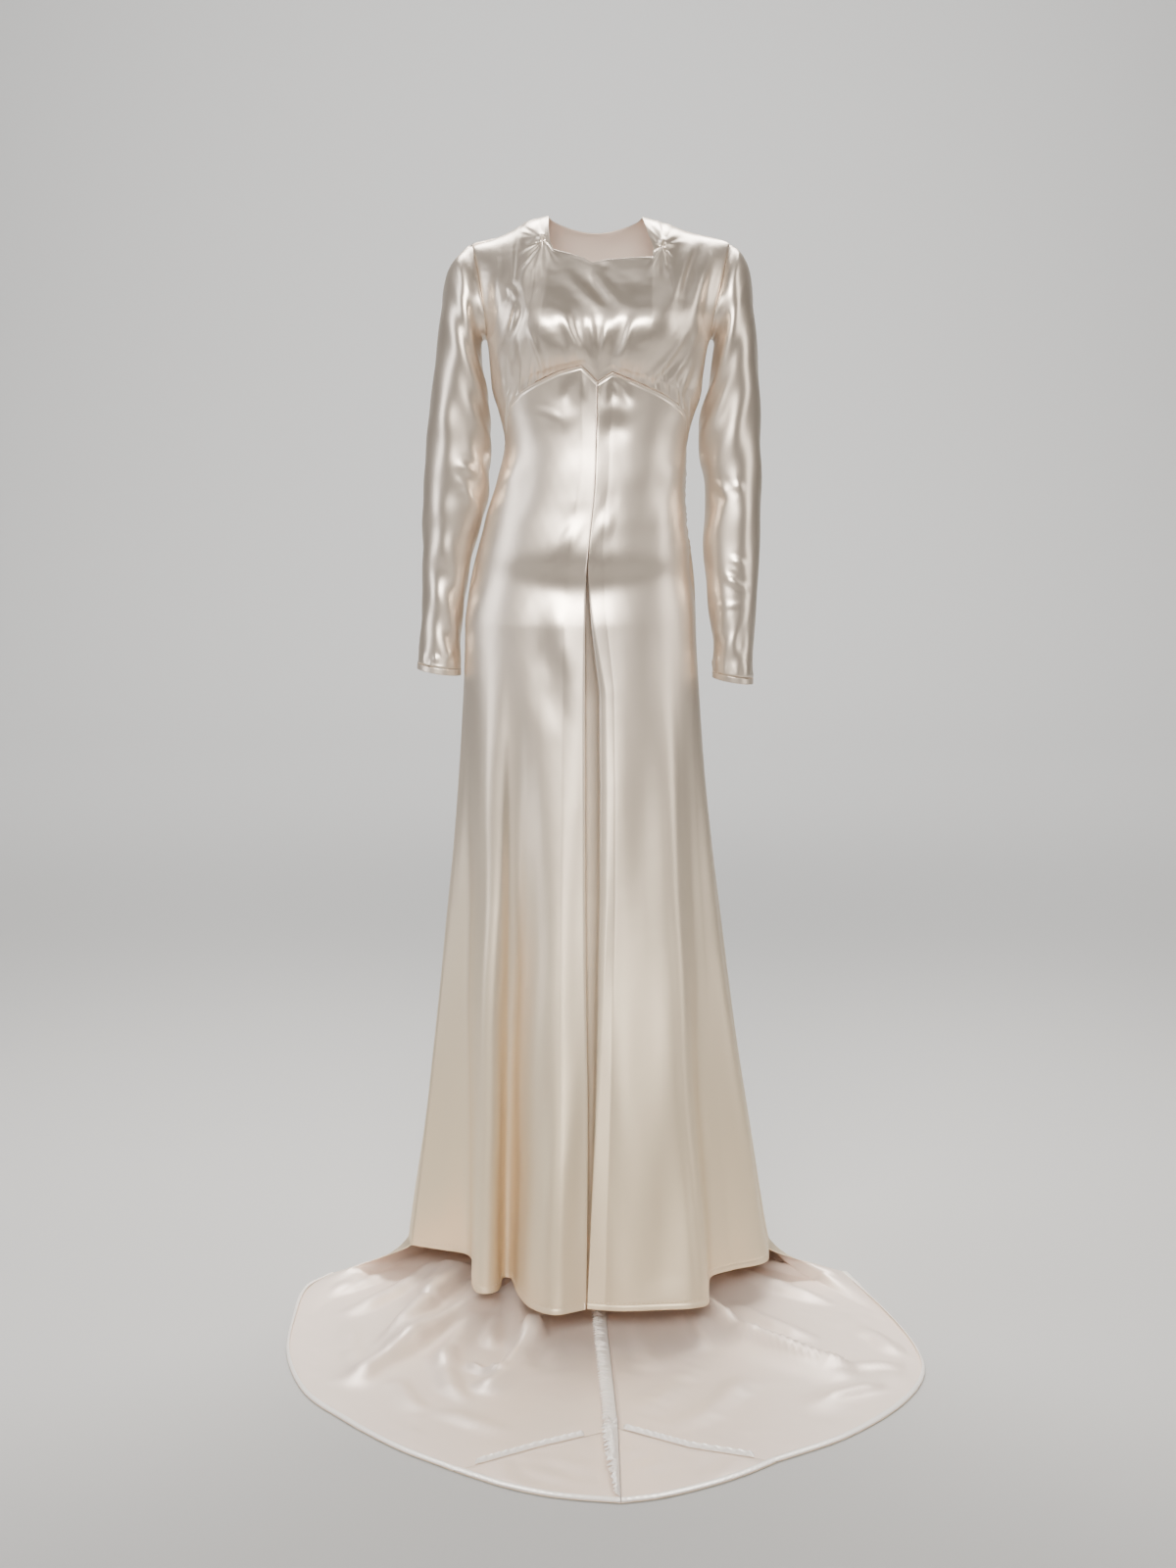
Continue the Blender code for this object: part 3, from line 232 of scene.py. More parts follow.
SLEEVE_LEFT = table(
    "outer_x outer_z inner_x inner_z middle_y half_depth",
    (0.1990, 1.4370, 0.1655, 1.3180, 0.002, 0.056), (0.2110, 1.4150, 0.1660, 1.3020, 0.002, 0.056),
    (0.2175, 1.3850, 0.1640, 1.2850, 0.002, 0.055), (0.2215, 1.3500, 0.1610, 1.2650, 0.003, 0.054),
    (0.2250, 1.3100, 0.1570, 1.2480, 0.004, 0.053), (0.2280, 1.2640, 0.1500, 1.2220, 0.006, 0.052),
    (0.2300, 1.2200, 0.1460, 1.2000, 0.008, 0.051), (0.2315, 1.1790, 0.1500, 1.1660, 0.008, 0.050),
    (0.2322, 1.1400, 0.1555, 1.1370, 0.006, 0.048), (0.2323, 1.1000, 0.1565, 1.1000, 0.004, 0.046),
    (0.2312, 1.0550, 0.1538, 1.0600, 0.000, 0.043), (0.2295, 1.0150, 0.1570, 1.0120, -0.004, 0.040),
    (0.2258, 0.9680, 0.1620, 0.9630, -0.008, 0.037), (0.2235, 0.9260, 0.1675, 0.9220, -0.010, 0.035),
    (0.2225, 0.8720, 0.1680, 0.8810, -0.010, 0.034),
)
# How finely each piece is divided: across and down
BODICE_GRID = (281, 150)
BACK_BODICE_GRID = (121, 80)
FRONT_GRID = (130, 260)
BACK_GRID = (100, 110, 20, 130)
SLEEVE_GRID = (88, 190)


def spline(at, xs, ys):
    """A smooth curve through the points or rows of a table, read at any place."""
    slope = np.gradient(ys, xs, axis=0)
    at = np.clip(at, xs[0], xs[-1])
    i = np.clip(np.searchsorted(xs, at, side="right") - 1, 0, len(xs) - 2)
    step = xs[i + 1] - xs[i]
    t = (at - xs[i]) / step
    spread = (...,) + (None,) * (np.ndim(ys) - 1)
    step, t = step[spread], t[spread]
    start = (1 + 2 * t) * (1 - t) ** 2 * ys[i] + t * (1 - t) ** 2 * step * slope[i]
    end = t * t * (3 - 2 * t) * ys[i + 1] + t * t * (t - 1) * step * slope[i + 1]
    return start + end


def read(rows, key, at, by="height"):
    """One column of a table as a smooth curve over another column."""
    return spline(np.asarray(at, float), rows[by], rows[key])


def unit(vectors):
    """Vectors of length one."""
    return vectors / np.maximum(np.linalg.norm(vectors, axis=-1, keepdims=True), 1e-12)


def points(x, y, z):
    """Points from their coordinates."""
    return np.stack(np.broadcast_arrays(x, y, z), axis=-1).astype(float)


def torso(angle, height, side="front"):
    """A point of the figure: angle in degrees from the centre, negative to the wearer's right."""
    sine = np.sin(np.radians(angle))
    square = read(TORSO, "square", height)
    x = read(TORSO, "centre", height) + read(TORSO, "half_width", height) * sine
    drop = np.clip((spline(x, SHOULDER["x"], SHOULDER["height"]) - height) / SHOULDER_ROLL, 0, 1)
    depth = read(TORSO, side, height) * np.sqrt(1 - (1 - drop) ** 2)
    y = depth * np.clip(1 - np.abs(sine) ** square, 0, 1) ** (1 / square)
    return points(x, -y if side == "front" else y, height)


def bust(place):
    """How far the gathered front stands out over the two cups, for points of the front."""
    rise = np.zeros(place.shape[:-1])
    for centre in (-0.058, 0.084):
        across = (place[..., 0] - centre) / 0.052
        up = place[..., 2] - BUST_HEIGHT
        up = up / np.where(up > 0, BUST_ABOVE, BUST_BELOW)
        rise = rise + 0.022 * np.exp(-(across**2) - up**2)
    return rise


def normals(grid, closed=False):
    """The direction at right angles to each point of a grid whose rows run down and columns run round."""
    if closed:
        across = np.roll(grid, -1, axis=1) - np.roll(grid, 1, axis=1)
    else:
        across = np.gradient(grid, axis=1)
    return unit(np.cross(np.gradient(grid, axis=0), across))


def flatten(direction, axis):
    """Directions turned into the plane across one axis, so that both sides of a seam share them."""
    direction = direction.copy()
    direction[..., axis] = 0
    return unit(direction)


def smooth_step(t):
    """A soft step from 0 to 1."""
    t = np.clip(t, 0, 1)
    return t * t * (3 - 2 * t)


def grid_faces(rows, columns, closed, flip):
    """The faces of a two-sided sheet: the right side, the wrong side and then the rims."""
    across = columns if closed else columns - 1
    r, c = np.meshgrid(np.arange(rows - 1), np.arange(across), indexing="ij")
    a = (r * columns + c).ravel()
    b = (r * columns + (c + 1) % columns).ravel()
    d, e = a + columns, b + columns
    under = rows * columns
    sides = [np.stack([a, b, e, d], 1), np.stack([a, d, e, b], 1) + under]
    c = np.arange(across)
    a, b = c, (c + 1) % columns
    rims = [np.stack([a, a + under, b + under, b], 1)]
    a, b = a + under - columns, b + under - columns
    rims.append(np.stack([a, b, b + under, a + under], 1))
    if not closed:
        a = np.arange(rows - 1) * columns
        d = a + columns
        rims.append(np.stack([a, d, d + under, a + under], 1))
        a, d = a + columns - 1, d + columns - 1
        rims.append(np.stack([a, a + under, d + under, d], 1))
    faces = np.concatenate(sides + rims)
    return (faces[:, ::-1] if flip else faces), 2 * len(sides[0])


def panel(name, outer, outward, finishes, thickness=CLOTH, closed=False, flip=False, slot="satin"):
    """One cut piece of cloth as a thin closed sheet, right side and wrong side, its weave measured in metres."""
    rows, columns = outer.shape[:2]
    inner = outer - outward * thickness
    cloud = np.concatenate([outer.reshape(-1, 3), inner.reshape(-1, 3)])
    cloud = cloud - (0, 0, SHOULDER_HEIGHT)
    faces, faced = grid_faces(rows, columns, closed, flip)
    mesh = bpy.data.meshes.new(name)
    mesh.from_pydata(cloud, [], faces)
    step = np.linalg.norm(np.diff(outer, axis=1), axis=-1)
    across = np.concatenate([np.zeros((rows, 1)), np.cumsum(step, axis=1)], axis=1)
    across = across - across[:, columns // 2][:, None]
    step = np.linalg.norm(np.diff(outer, axis=0), axis=-1)
    down = np.concatenate([np.zeros((1, columns)), np.cumsum(step, axis=0)], axis=0)
    grain = np.tile(np.stack([across, -down], axis=-1).reshape(-1, 2), (2, 1))
    weave = mesh.uv_layers.new(name="grain")
    corner = np.zeros(len(mesh.loops), int)
    mesh.loops.foreach_get("vertex_index", corner)
    weave.data.foreach_set("uv", grain[corner].ravel())
    smooth = np.arange(len(faces)) < faced
    mesh.polygons.foreach_set("use_smooth", smooth)
    for finish in finishes:
        mesh.materials.append(finish)
    wrong_side = (np.arange(len(faces)) >= faced // 2) & smooth
    mesh.polygons.foreach_set("material_index", wrong_side.astype(int) * (len(finishes) - 1))
    piece = bpy.data.objects.new(name, mesh)
    bpy.context.scene.collection.objects.link(piece)
    return dress(piece, slot)


def dress(piece, slot, *nodes):
    """Hands a finished piece to the frame."""
    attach(piece, "root")
    if nodes:
        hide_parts(*nodes)
    return piece


def seam_row(q):
    """The raised waist seam by its place among the skirt's columns, as angles and heights."""
    peaks = abs(PEAK_RIGHT), PEAK_LEFT
    last = SKIRT_COLUMNS
    stops = (0, last - 2, last - 1, last, last + 1, last + 2, 2 * last)
    angle = np.interp(q, stops, (-90, -peaks[0], -peaks[0] / 2, 0, peaks[1] / 2, peaks[1], 90))
    return np.stack([angle, np.interp(angle, WAIST_SEAM["angle"], WAIST_SEAM["height"])], axis=-1)


def seam_outward(place):
    """The level direction that both sides of the waist seam share, from the figure's section."""
    height = place[:, 2]
    x = (place[:, 0] - read(TORSO, "centre", height)) / read(TORSO, "half_width", height) ** 2
    y = place[:, 1] / read(TORSO, "front", height) ** 2
    return unit(points(x, y, 0.0))


def armhole_edge(at):
    """The armhole by its place among the table's points, from the underarm up: angles and heights."""
    count = np.arange(len(ARMHOLE["angle"]))
    return np.stack([spline(at, count, ARMHOLE["angle"]), spline(at, count, ARMHOLE["height"])], axis=-1)


def on_figure(x, height):
    """Places on the figure, as angles and heights, from how far across and how high they are."""
    sine = (x - read(TORSO, "centre", height)) / read(TORSO, "half_width", height)
    return np.stack([np.degrees(np.arcsin(np.clip(sine, -1, 1))), height], axis=-1)


def shoulder_seam(side, at):
    """The shoulder seam from the armhole (0) to the neck (4), as angles and heights."""
    row = slice(0, 5) if side < 0 else slice(None, -6, -1)
    line = on_figure(SHOULDER["x"][row], SHOULDER["height"][row])
    line[0] = side * ARMHOLE["angle"][-1], ARMHOLE["height"][-1]
    return spline(at, np.arange(5), line)


def bodice_side(side, row):
    """The bodice's side edge by its row: up the side seam, then round the armhole to the shoulder."""
    climb = np.interp(row, (0, SIDE_ROWS), (WAIST_HEIGHT, UNDERARM_HEIGHT))
    seam = np.stack([np.full(len(row), 90.0), climb], axis=-1)
    edge = np.where((row < SIDE_ROWS)[:, None], seam, armhole_edge(np.maximum(row - SIDE_ROWS, 0)))
    return edge * (side, 1)


def between_edges(bottom, top, right, left, s, rows, side_rows):
    """A grid of angles and heights between four edges: rows run upward, columns to the wearer's left."""
    s = s[None, :, None]
    inside = smooth_step(np.minimum(s, 1 - s) / SIDE_SHARE)
    rows, side_rows = rows[:, None, None], side_rows[:, None, None]
    t = side_rows * (1 - inside) + rows * inside
    bow_right = right[:, None] - right[0] * (1 - side_rows) - right[-1] * side_rows
    bow_left = left[:, None] - left[0] * (1 - side_rows) - left[-1] * side_rows
    return (1 - t) * bottom + t * top + (1 - s) ** 4 * bow_right + s**4 * bow_left


def climbed(edge, first, last):
    """How far up each point of a side edge is, as a share of its climb."""
    return (edge[:, 1] - first) / (last - first)


def set_armhole(outward, seam_rows):
    """Turns the cloth's edge at both armholes into the plane across the body."""
    for column, side in ((0, -1), (-1, 1)):
        edge = outward[:, column]
        edge[seam_rows:] = flatten(edge[seam_rows:], 0)
        edge[:seam_rows] = (side, 0, 0)
        edge[-1] = (0, 0, 1)
        outward[:, column] = edge


def armhole_way(grid, outward):
    """Directions of the bodice, turned near the armholes into the plane that the sleeves share."""
    _, _, right, left = edge_ways(grid)
    beside = smooth_step(np.minimum(right, left) / 0.010)[..., None]
    return unit(flatten(outward, 0) * (1 - beside) + outward * beside)


def denser(last, count, crowded):
    """Places from 0 to last, with more of them in the stretches that carry small pleats."""
    at = np.linspace(0, last, 2000)
    weight = np.ones(2000)
    for low, high, more in crowded:
        weight = weight + more * smooth_step((at - low) / 2 + 0.5) * smooth_step((high - at) / 2 + 0.5)
    total = np.append(0, np.cumsum((weight[1:] + weight[:-1]) / 2))
    return np.interp(np.linspace(0, total[-1], count), total, at)


def bodice_front(finishes):
    """The front: gathered along the raised waist seam, shirred beside the neck."""
    last = 2 * SKIRT_COLUMNS * 2
    shoulder = 16
    c = denser(last, BODICE_GRID[0], ((13, 29, 1.2), (59, 75, 1.2)))
    row = denser(11, BODICE_GRID[1], ((-1, 1.4, 1.0), (7.6, 12, 1.2)))
    seam = seam_row(c / 2)
    run = np.gradient(torso(*seam.T), axis=0)
    lift = WAIST_SEAM_GAP * np.linalg.norm(run, axis=-1) / np.linalg.norm(run[:, :2], axis=-1)
    bottom = seam + np.stack([0 * lift, lift], axis=-1)
    neck = np.stack([NECK_EDGE["x"], NECK_EDGE["height"]], axis=-1)
    length = np.append(0, np.cumsum(np.linalg.norm(np.diff(neck, axis=0), axis=-1)))
    at = np.clip((c - shoulder) / (last - 2 * shoulder), 0, 1) * length[-1]
    neck = np.stack([np.interp(at, length, one) for one in neck.T], axis=-1)
    top = on_figure(*neck.T)
    right_shoulder = shoulder_seam(-1, np.clip(c / shoulder, 0, 1) * 4)
    left_shoulder = shoulder_seam(1, np.clip((last - c) / shoulder, 0, 1) * 4)
    top = np.where((c < shoulder)[:, None], right_shoulder, top)
    top = np.where((c > last - shoulder)[:, None], left_shoulder, top)
    right, left = bodice_side(-1, row), bodice_side(1, row)
    rows = np.interp(row, np.arange(12), BODICE_ROWS)
    side_rows = climbed(right, WAIST_HEIGHT, ARMHOLE["height"][-1])
    plan = between_edges(bottom, top, right, left, c / last, rows, side_rows)
    rows = rows[:, None]
    stops = (0, shoulder, shoulder + 8, shoulder + 14)
    lean = np.interp(c, stops, (0, -1, -0.6, 0))
    lean = lean - lean[::-1]
    plan[..., 0] += NECK_LEAN * lean * rows**4 * (1 - rows) / 0.082
    grid = torso(plan[..., 0], plan[..., 1])
    outward = normals(grid[::-1])[::-1]
    edge = np.minimum(c, last - c)[None, :]
    fade = np.clip(edge / 5, 0, 1)
    in_centre = smooth_step((np.abs(c - last / 2) - 3) / 3)[None, :]
    stand = bust(grid) + 0.004 * np.exp(-(((rows - 0.16) / 0.12) ** 2)) * in_centre
    grid = grid + outward * (stand * fade * np.clip(rows * 12, 0, 1))[..., None]
    seam_height = np.interp(on_figure(grid[..., 0], grid[..., 2])[..., 0], WAIST_SEAM["angle"], WAIST_SEAM["height"])
    grid = raised(grid, armhole_way(grid, normals(grid[::-1])[::-1]), bodice_relief(grid, seam_height))
    outward = normals(grid[::-1])[::-1]
    outward[0] = flatten(outward[0], 2)
    seam_rows = int(np.searchsorted(row, SIDE_ROWS))
    set_armhole(outward, seam_rows)
    on_shoulder = int(np.searchsorted(c, shoulder))
    outward[-1, :on_shoulder] = (0, 0, 1)
    outward[-1, -on_shoulder:] = (0, 0, 1)
    outward[0, 1:-1] = seam_outward(grid[0, 1:-1])
    outward[0, 0], outward[0, -1] = (-1, 0, 0), (1, 0, 0)
    keep_half(grid, -SEAM_GAP / 2)
    return panel("gathered_front", grid[::-1], outward[::-1], finishes)


def keep_half(grid, y):
    """Moves the two side edges and the shoulder edges off the seam to their own half."""
    grid[:, 0, 1] += y
    grid[:, -1, 1] += y
    grid[-1, 1:-1, 1] += np.where(np.abs(grid[-1, 1:-1, 1]) < 0.004, y, 0)


def raised(grid, outward, height):
    """A grid lifted along its own outward direction."""
    return grid + outward * height[..., None]


def bodice_back(finishes):
    """The back: plain, with a shallow neck."""
    last = 18
    c = np.linspace(0, last, BACK_BODICE_GRID[0])
    row = np.linspace(0, 11, BACK_BODICE_GRID[1])
    angles = -90 + 180 * c / last
    bottom = np.stack([angles, np.full(len(angles), WAIST_HEIGHT + WAIST_SEAM_GAP)], axis=-1)
    across = np.interp(c, (4, last - 4), (SHOULDER["x"][4], SHOULDER["x"][-5]))
    curve = np.sin(np.clip((c - 4) / (last - 8), 0, 1) * math.pi) ** 0.6
    neck = on_figure(across, spline(across, SHOULDER["x"], SHOULDER["height"]) - BACK_NECK_DROP * curve)
    top = np.where((c < 4)[:, None], shoulder_seam(-1, np.minimum(c, 4)), neck)
    top = np.where((c > last - 4)[:, None], shoulder_seam(1, np.minimum(last - c, 4)), top)
    right, left = bodice_side(-1, row), bodice_side(1, row)
    side_rows = climbed(right, WAIST_HEIGHT, ARMHOLE["height"][-1])
    plan = between_edges(bottom, top, right, left, c / last, side_rows, side_rows)
    grid = torso(plan[..., 0], plan[..., 1], "back")
    grid = raised(grid, armhole_way(grid, -normals(grid[::-1])[::-1]), back_bodice_relief(grid))
    outward = -normals(grid[::-1])[::-1]
    outward[0] = flatten(outward[0], 2)
    seam_rows = int(np.searchsorted(row, SIDE_ROWS))
    set_armhole(outward, seam_rows)
    on_shoulder = int(np.searchsorted(c, 4))
    outward[-1, :on_shoulder] = (0, 0, 1)
    outward[-1, -on_shoulder:] = (0, 0, 1)
    keep_half(grid, SEAM_GAP / 2)
    return panel("plain_back", grid[::-1], outward[::-1], finishes, flip=True)


def flare(height):
    """How far the skirt has opened from the hip (0) to the hem (1)."""
    return np.clip((HIP_HEIGHT - height) / (HIP_HEIGHT - HEM_HEIGHT), 0, 1) ** FLARE_POWER


def pleat_edge(edge, side, count):
    """The columns of a front panel's turned edge at the centre line."""
    opening = np.interp(edge[:, 2], CENTRE_FRONT["height"], CENTRE_FRONT["opening"])[:, None]
    rows = PLEAT_OVER if side < 0 else PLEAT_UNDER
    stops = np.arange(len(rows["across"]))
    at = np.linspace(0, stops[-1], count)
    turned = {key: spline(at, stops, rows[key])[None] for key in rows}
    part = opening / WIDEST_OPENING
    sharp = 0.12 + 0.88 * part
    if side < 0:
        across = turned["across"] * sharp - SEAM_GAP
        back = turned["back"] * sharp
    else:
        across = turned["across"] * (1 - part) * sharp + turned["open_across"] * part + SEAM_GAP
        back = turned["back"] * (1 - part) + turned["open_back"] * part
    return points(edge[:, None, 0] + across, edge[:, None, 1] + back, edge[:, None, 2])


def front_grid(side):
    """A front skirt panel: smooth over the hip, then in deep folds to the hem, with its pleat edge turned."""
    last = SKIRT_COLUMNS
    q = np.linspace(0, last, FRONT_GRID[0])
    level = np.interp(np.linspace(0, 1, FRONT_GRID[1]), (0, 0.08, 0.45, 0.95, 1), (0, 0.010, 0.33, 0.985, 1))
    angles, top = seam_row(q if side < 0 else 2 * last - q).T
    heights = top[None] + (HEM_HEIGHT - top[None]) * level[:, None]
    share = 1 - np.abs(angles) / 90
    share = 0.75 * share + 0.25 * (1 - np.cos(np.pi * share)) / 2
    share = q / last * 0.85 + share * 0.15
    hem = HEM_RIGHT if side < 0 else HEM_LEFT
    body = torso(angles[None], np.maximum(heights, HIP_HEIGHT))
    open_ = flare(heights)[..., None]
    plan = points(read(hem, "x", share, "share"), read(hem, "y", share, "share"), 0.0)[None]
    grid = body * (1 - open_) + plan * open_
    grid[..., 2] = heights
    centre = grid[:, -1].copy()
    centre[:, 0] = read(CENTRE_FRONT, "x", centre[:, 2])
    turned = pleat_edge(centre, side, TURNED)
    pull = np.clip((share - 0.55) / 0.45, 0, 1)[None] ** 2
    begun = np.clip(level / 0.045, 0, 1)[:, None]
    pull = pull * begun + np.clip(q - last + 1, 0, 1)[None] * (1 - begun)
    grid[..., 0] += (turned[:, 0, 0] - grid[:, -1, 0])[:, None] * pull
    return np.concatenate([grid[:, :-1], turned], axis=1)


def skirt_front(name, side, finishes):
    """A front skirt panel as a finished piece."""
    grid = front_grid(side)
    way = normals(grid) * -side
    way[:, -TURNED:] = way[:, -TURNED - 1:-TURNED]
    grid = raised(grid, way, front_relief(grid, side))
    outward = normals(grid) * -side
    outward[:, 0] = (side, 0, 0)
    outward[0, 1:-TURNED] = seam_outward(grid[0, 1:-TURNED])
    grid[:, 0, 1] -= SEAM_GAP / 2
    height = grid[:, :1, 2]
    hem = smooth_step((HEM_HEIGHT + FRONT_HEM_WIDTH - height) / 0.0012 + 0.5)
    thickness = (CLOTH + (DOUBLE_CLOTH - CLOTH) * hem)[..., None]
    return panel(name, grid, outward, finishes, thickness, flip=side > 0), grid, outward


def floor_folds(x, y):
    """The height of the folds in the cloth that lies on the floor."""
    total = np.zeros(np.shape(x))
    for fold in np.unique(TRAIN_FOLDS["fold"]):
        ridge = np.zeros(np.shape(x))
        for row in np.flatnonzero(TRAIN_FOLDS["fold"] == fold):
            x0, y0, x1, y1, high, wide = (TRAIN_FOLDS[k][row] for k in ("x0", "y0", "x1", "y1", "height", "width"))
            run = np.array((x1 - x0, y1 - y0))
            t = np.clip(((x - x0) * run[0] + (y - y0) * run[1]) / (run @ run), 0, 1)
            away = np.hypot(x - x0 - t * run[0], y - y0 - t * run[1])
            ridge = np.maximum(ridge, high * np.exp(-((away / wide) ** 2)))
        total = total + ridge
    seam = np.clip((np.abs(x - CENTRE_BACK_X) - FLAT_BESIDE_SEAM) / 0.030, 0, 1)
    return total * seam


def train_edge(rows, share):
    """The train's outline by the share of a back panel's width, with a corner where the tip is let in."""
    corner = 8
    line = []
    for key in ("edge_x", "edge_y"):
        outline = spline(share, rows["share"][:corner], rows[key][:corner])
        seam = np.interp(share, rows["share"][corner - 1:], rows[key][corner - 1:])
        line.append(np.where(share < rows["share"][corner - 1], outline, seam))
    return points(*line, FLOOR_CLEARANCE)


def back_grid(side, columns, down_rows, turn_rows, bed_rows):
    """The points of a back panel: down the wall, round the fold, along the floor to the train's edge."""
    rows = BACK_RIGHT if side < 0 else BACK_LEFT
    share = np.linspace(0, 1, columns)
    place = {key: read(rows, key, share, "share") for key in rows}
    angles = side * (90 - 90 * share)
    level = np.linspace(0, 1, down_rows)[:, None]
    heights = WAIST_HEIGHT + (HEM_HEIGHT - WAIST_HEIGHT) * level
    body = torso(angles[None], np.maximum(heights, HIP_HEIGHT), "back")
    foot = points(place["wall_x"], place["wall_y"], HEM_HEIGHT)[None]
    open_ = flare(heights)[..., None]
    down = body * (1 - open_) + foot * open_
    down[..., 2] = heights
    start = down[-1]
    fold = points(place["fold_x"], place["fold_y"], FLOOR_CLEARANCE)
    edge = train_edge(rows, share)
    flat = fold + unit(edge - fold) * place["ease"][:, None]
    turn = np.linspace(0, 1, turn_rows + 1)[1:, None, None]
    round_ = (1 - turn) ** 2 * start + 2 * turn * (1 - turn) * fold + turn**2 * flat
    length = np.linalg.norm(edge - flat, axis=-1)
    band = np.minimum(TRAIN_HEM_WIDTH / length, 0.4)
    bed_at = np.linspace(0, 12, bed_rows + 1)[1:, None]
    rest = np.where(bed_at < 11, bed_at / 11 * (1 - band), 1 - band * (12 - bed_at))
    bed = flat + (edge - flat) * rest[..., None]
    grid = np.concatenate([down, round_, bed])
    lying = np.concatenate([
        np.zeros(down_rows),
        np.interp(turn[:, 0, 0], (0, 0.3, 0.55, 0.78, 1), (0, 0, 0.1, 0.4, 0.8)),
        np.where(bed_at[:, 0] < 1, 0.8 + 0.2 * bed_at[:, 0], 1 - np.clip((bed_at[:, 0] - 1) / 10, 0, 1) ** 4),
    ])
    grid[..., 2] += floor_folds(grid[..., 0], grid[..., 1]) * lying[:, None]
    floor = grid[len(down):]
    left = np.linalg.norm(floor - floor[-1], axis=-1) / np.linalg.norm(start - floor[-1], axis=-1)
    wing = np.clip(1 - share / WING_SHARE, 0, 1)
    floor[..., 2] += (HEM_HEIGHT * left - floor[..., 2] + FLOOR_CLEARANCE) * wing * (left > 0)
    return grid


def skirt_back(name, side, finishes):
    """A back panel with its half of the train, whose inside faces up on the floor."""
    columns, down_rows, turn_rows, bed_rows = BACK_GRID
    grid = back_grid(side, columns, down_rows, turn_rows, bed_rows)
    grid = raised(grid, normals(grid) * side, back_relief(grid, side, down_rows))
    outward = normals(grid) * side
    outward[:down_rows, 0] = (side, 0, 0)
    outward[0] = flatten(outward[0], 2)
    outward[:, -1] = flatten(outward[:, -1], 0)
    grid[:down_rows, 0, 1] += SEAM_GAP / 2
    grid[:, -1, 0] += side * SEAM_GAP / 2
    return panel(name, grid, outward, finishes, flip=side < 0)


def sleeve_rings(side, around, rings):
    """The sleeve's rings from the armhole to the wrist; each starts at the top and runs round the front."""
    rows = SLEEVE_RIGHT if side < 0 else SLEEVE_LEFT
    j = np.linspace(0, 16, around + 1)[:-1]
    edge = armhole_edge(np.abs(8 - j))
    hole = np.where((j <= 8)[:, None], torso(side * edge[:, 0], edge[:, 1]), torso(side * edge[:, 0], edge[:, 1], "back"))
    hole[0, 1] = 0
    hole[:, 0] += side * SEAM_GAP / 2
    angle = j / 16 * 2 * math.pi
    outer = points(rows["outer_x"], 0.0, rows["outer_z"])[:, None]
    inner = points(rows["inner_x"], 0.0, rows["inner_z"])[:, None]
    swing = ((1 + np.cos(angle)) / 2)[None, :, None]
    grid = inner + (outer - inner) * swing
    grid[..., 1] = rows["middle_y"][:, None] - rows["half_depth"][:, None] * np.sin(angle)
    grid = np.concatenate([hole[None], grid])
    return spline(np.linspace(0, len(grid) - 1, rings), np.arange(len(grid)), grid)


def sleeve(name, side, finishes):
    """A long sleeve, open at the armhole and the wrist."""
    grid = sleeve_rings(side, *SLEEVE_GRID)
    way = normals(grid, closed=True) * -side
    from_hole = smooth_step(np.linalg.norm(grid - grid[0], axis=-1) / 0.010)[..., None]
    ring_way = unit((grid - grid.mean(axis=1, keepdims=True)) * (0, 1, 1))
    grid = raised(grid, unit(ring_way * (1 - from_hole) + way * from_hole), sleeve_relief(grid, side))
    outward = normals(grid, closed=True) * -side
    middle = (grid[0].max(axis=0) + grid[0].min(axis=0)) / 2
    outward[0] = flatten(grid[0] - middle, 0)
    return panel(name, grid, outward, finishes, closed=True, flip=side > 0)


def cuff(name, side, finishes):
    """The narrow binding that carries on from the sleeve at the wrist."""
    last, before = sleeve_rings(side, SLEEVE_GRID[0], 16)[[-1, -2]]
    middle = last.mean(axis=0)
    down = unit((last - before).mean(axis=0))
    start = middle + (last - middle) * (1 + CUFF_STAND / 0.03) + down * SEAM_GAP * 2
    grid = start + down * (np.linspace(0, CUFF_WIDTH, 9)[:, None, None])
    outward = normals(grid, closed=True) * -side
    return panel(name, grid, outward, finishes, DOUBLE_CLOTH, closed=True, flip=side > 0)


def tip_edge(side, share):
    """The outer edge of the piece let in at the train's tip."""
    rows = TIP_RIGHT if side < 0 else TIP_LEFT
    count = np.linspace(0, 1, len(rows["x"]))
    return points(spline(share, count, rows["x"]), spline(share, count, rows["y"]), FLOOR_CLEARANCE)


def piecing_line(side, share):
    """The seam between the train and the piece let in at its tip."""
    rows = BACK_RIGHT if side < 0 else BACK_LEFT
    return train_edge(rows, 0.79 + 0.21 * share)


def train_tip(name, side, finishes):
    """The piece let in at the tip of the train."""
    share = np.linspace(0, 1, 60)
    seam, edge = piecing_line(side, share), tip_edge(side, share)
    depth = np.linspace(0, 1, 40)[:, None, None]
    seam = seam + unit(edge[1:].mean(axis=0) - seam[1:].mean(axis=0)) * 2 * SEAM_GAP
    edge[0] = edge[0] + (edge[1] - edge[0]) * 0.1
    grid = seam + (edge - seam) * depth
    grid[..., 2] += tip_relief(grid, side)
    outward = points(0, 0, -1.0 + 0 * grid[..., 0])
    grid[:, -1, 0] += side * SEAM_GAP / 2
    return panel(name, grid, outward, finishes, slot="satin_inside", flip=side > 0)


def even(line, pitch):
    """A line as points a like distance apart, measured over its first three columns, and how far along they are."""
    length = np.append(0, np.cumsum(np.linalg.norm(np.diff(line[:, :3], axis=0), axis=-1)))
    at = np.linspace(0, length[-1], max(int(length[-1] / pitch), 2))
    return np.stack([np.interp(at, length, one) for one in line.T], axis=-1), at


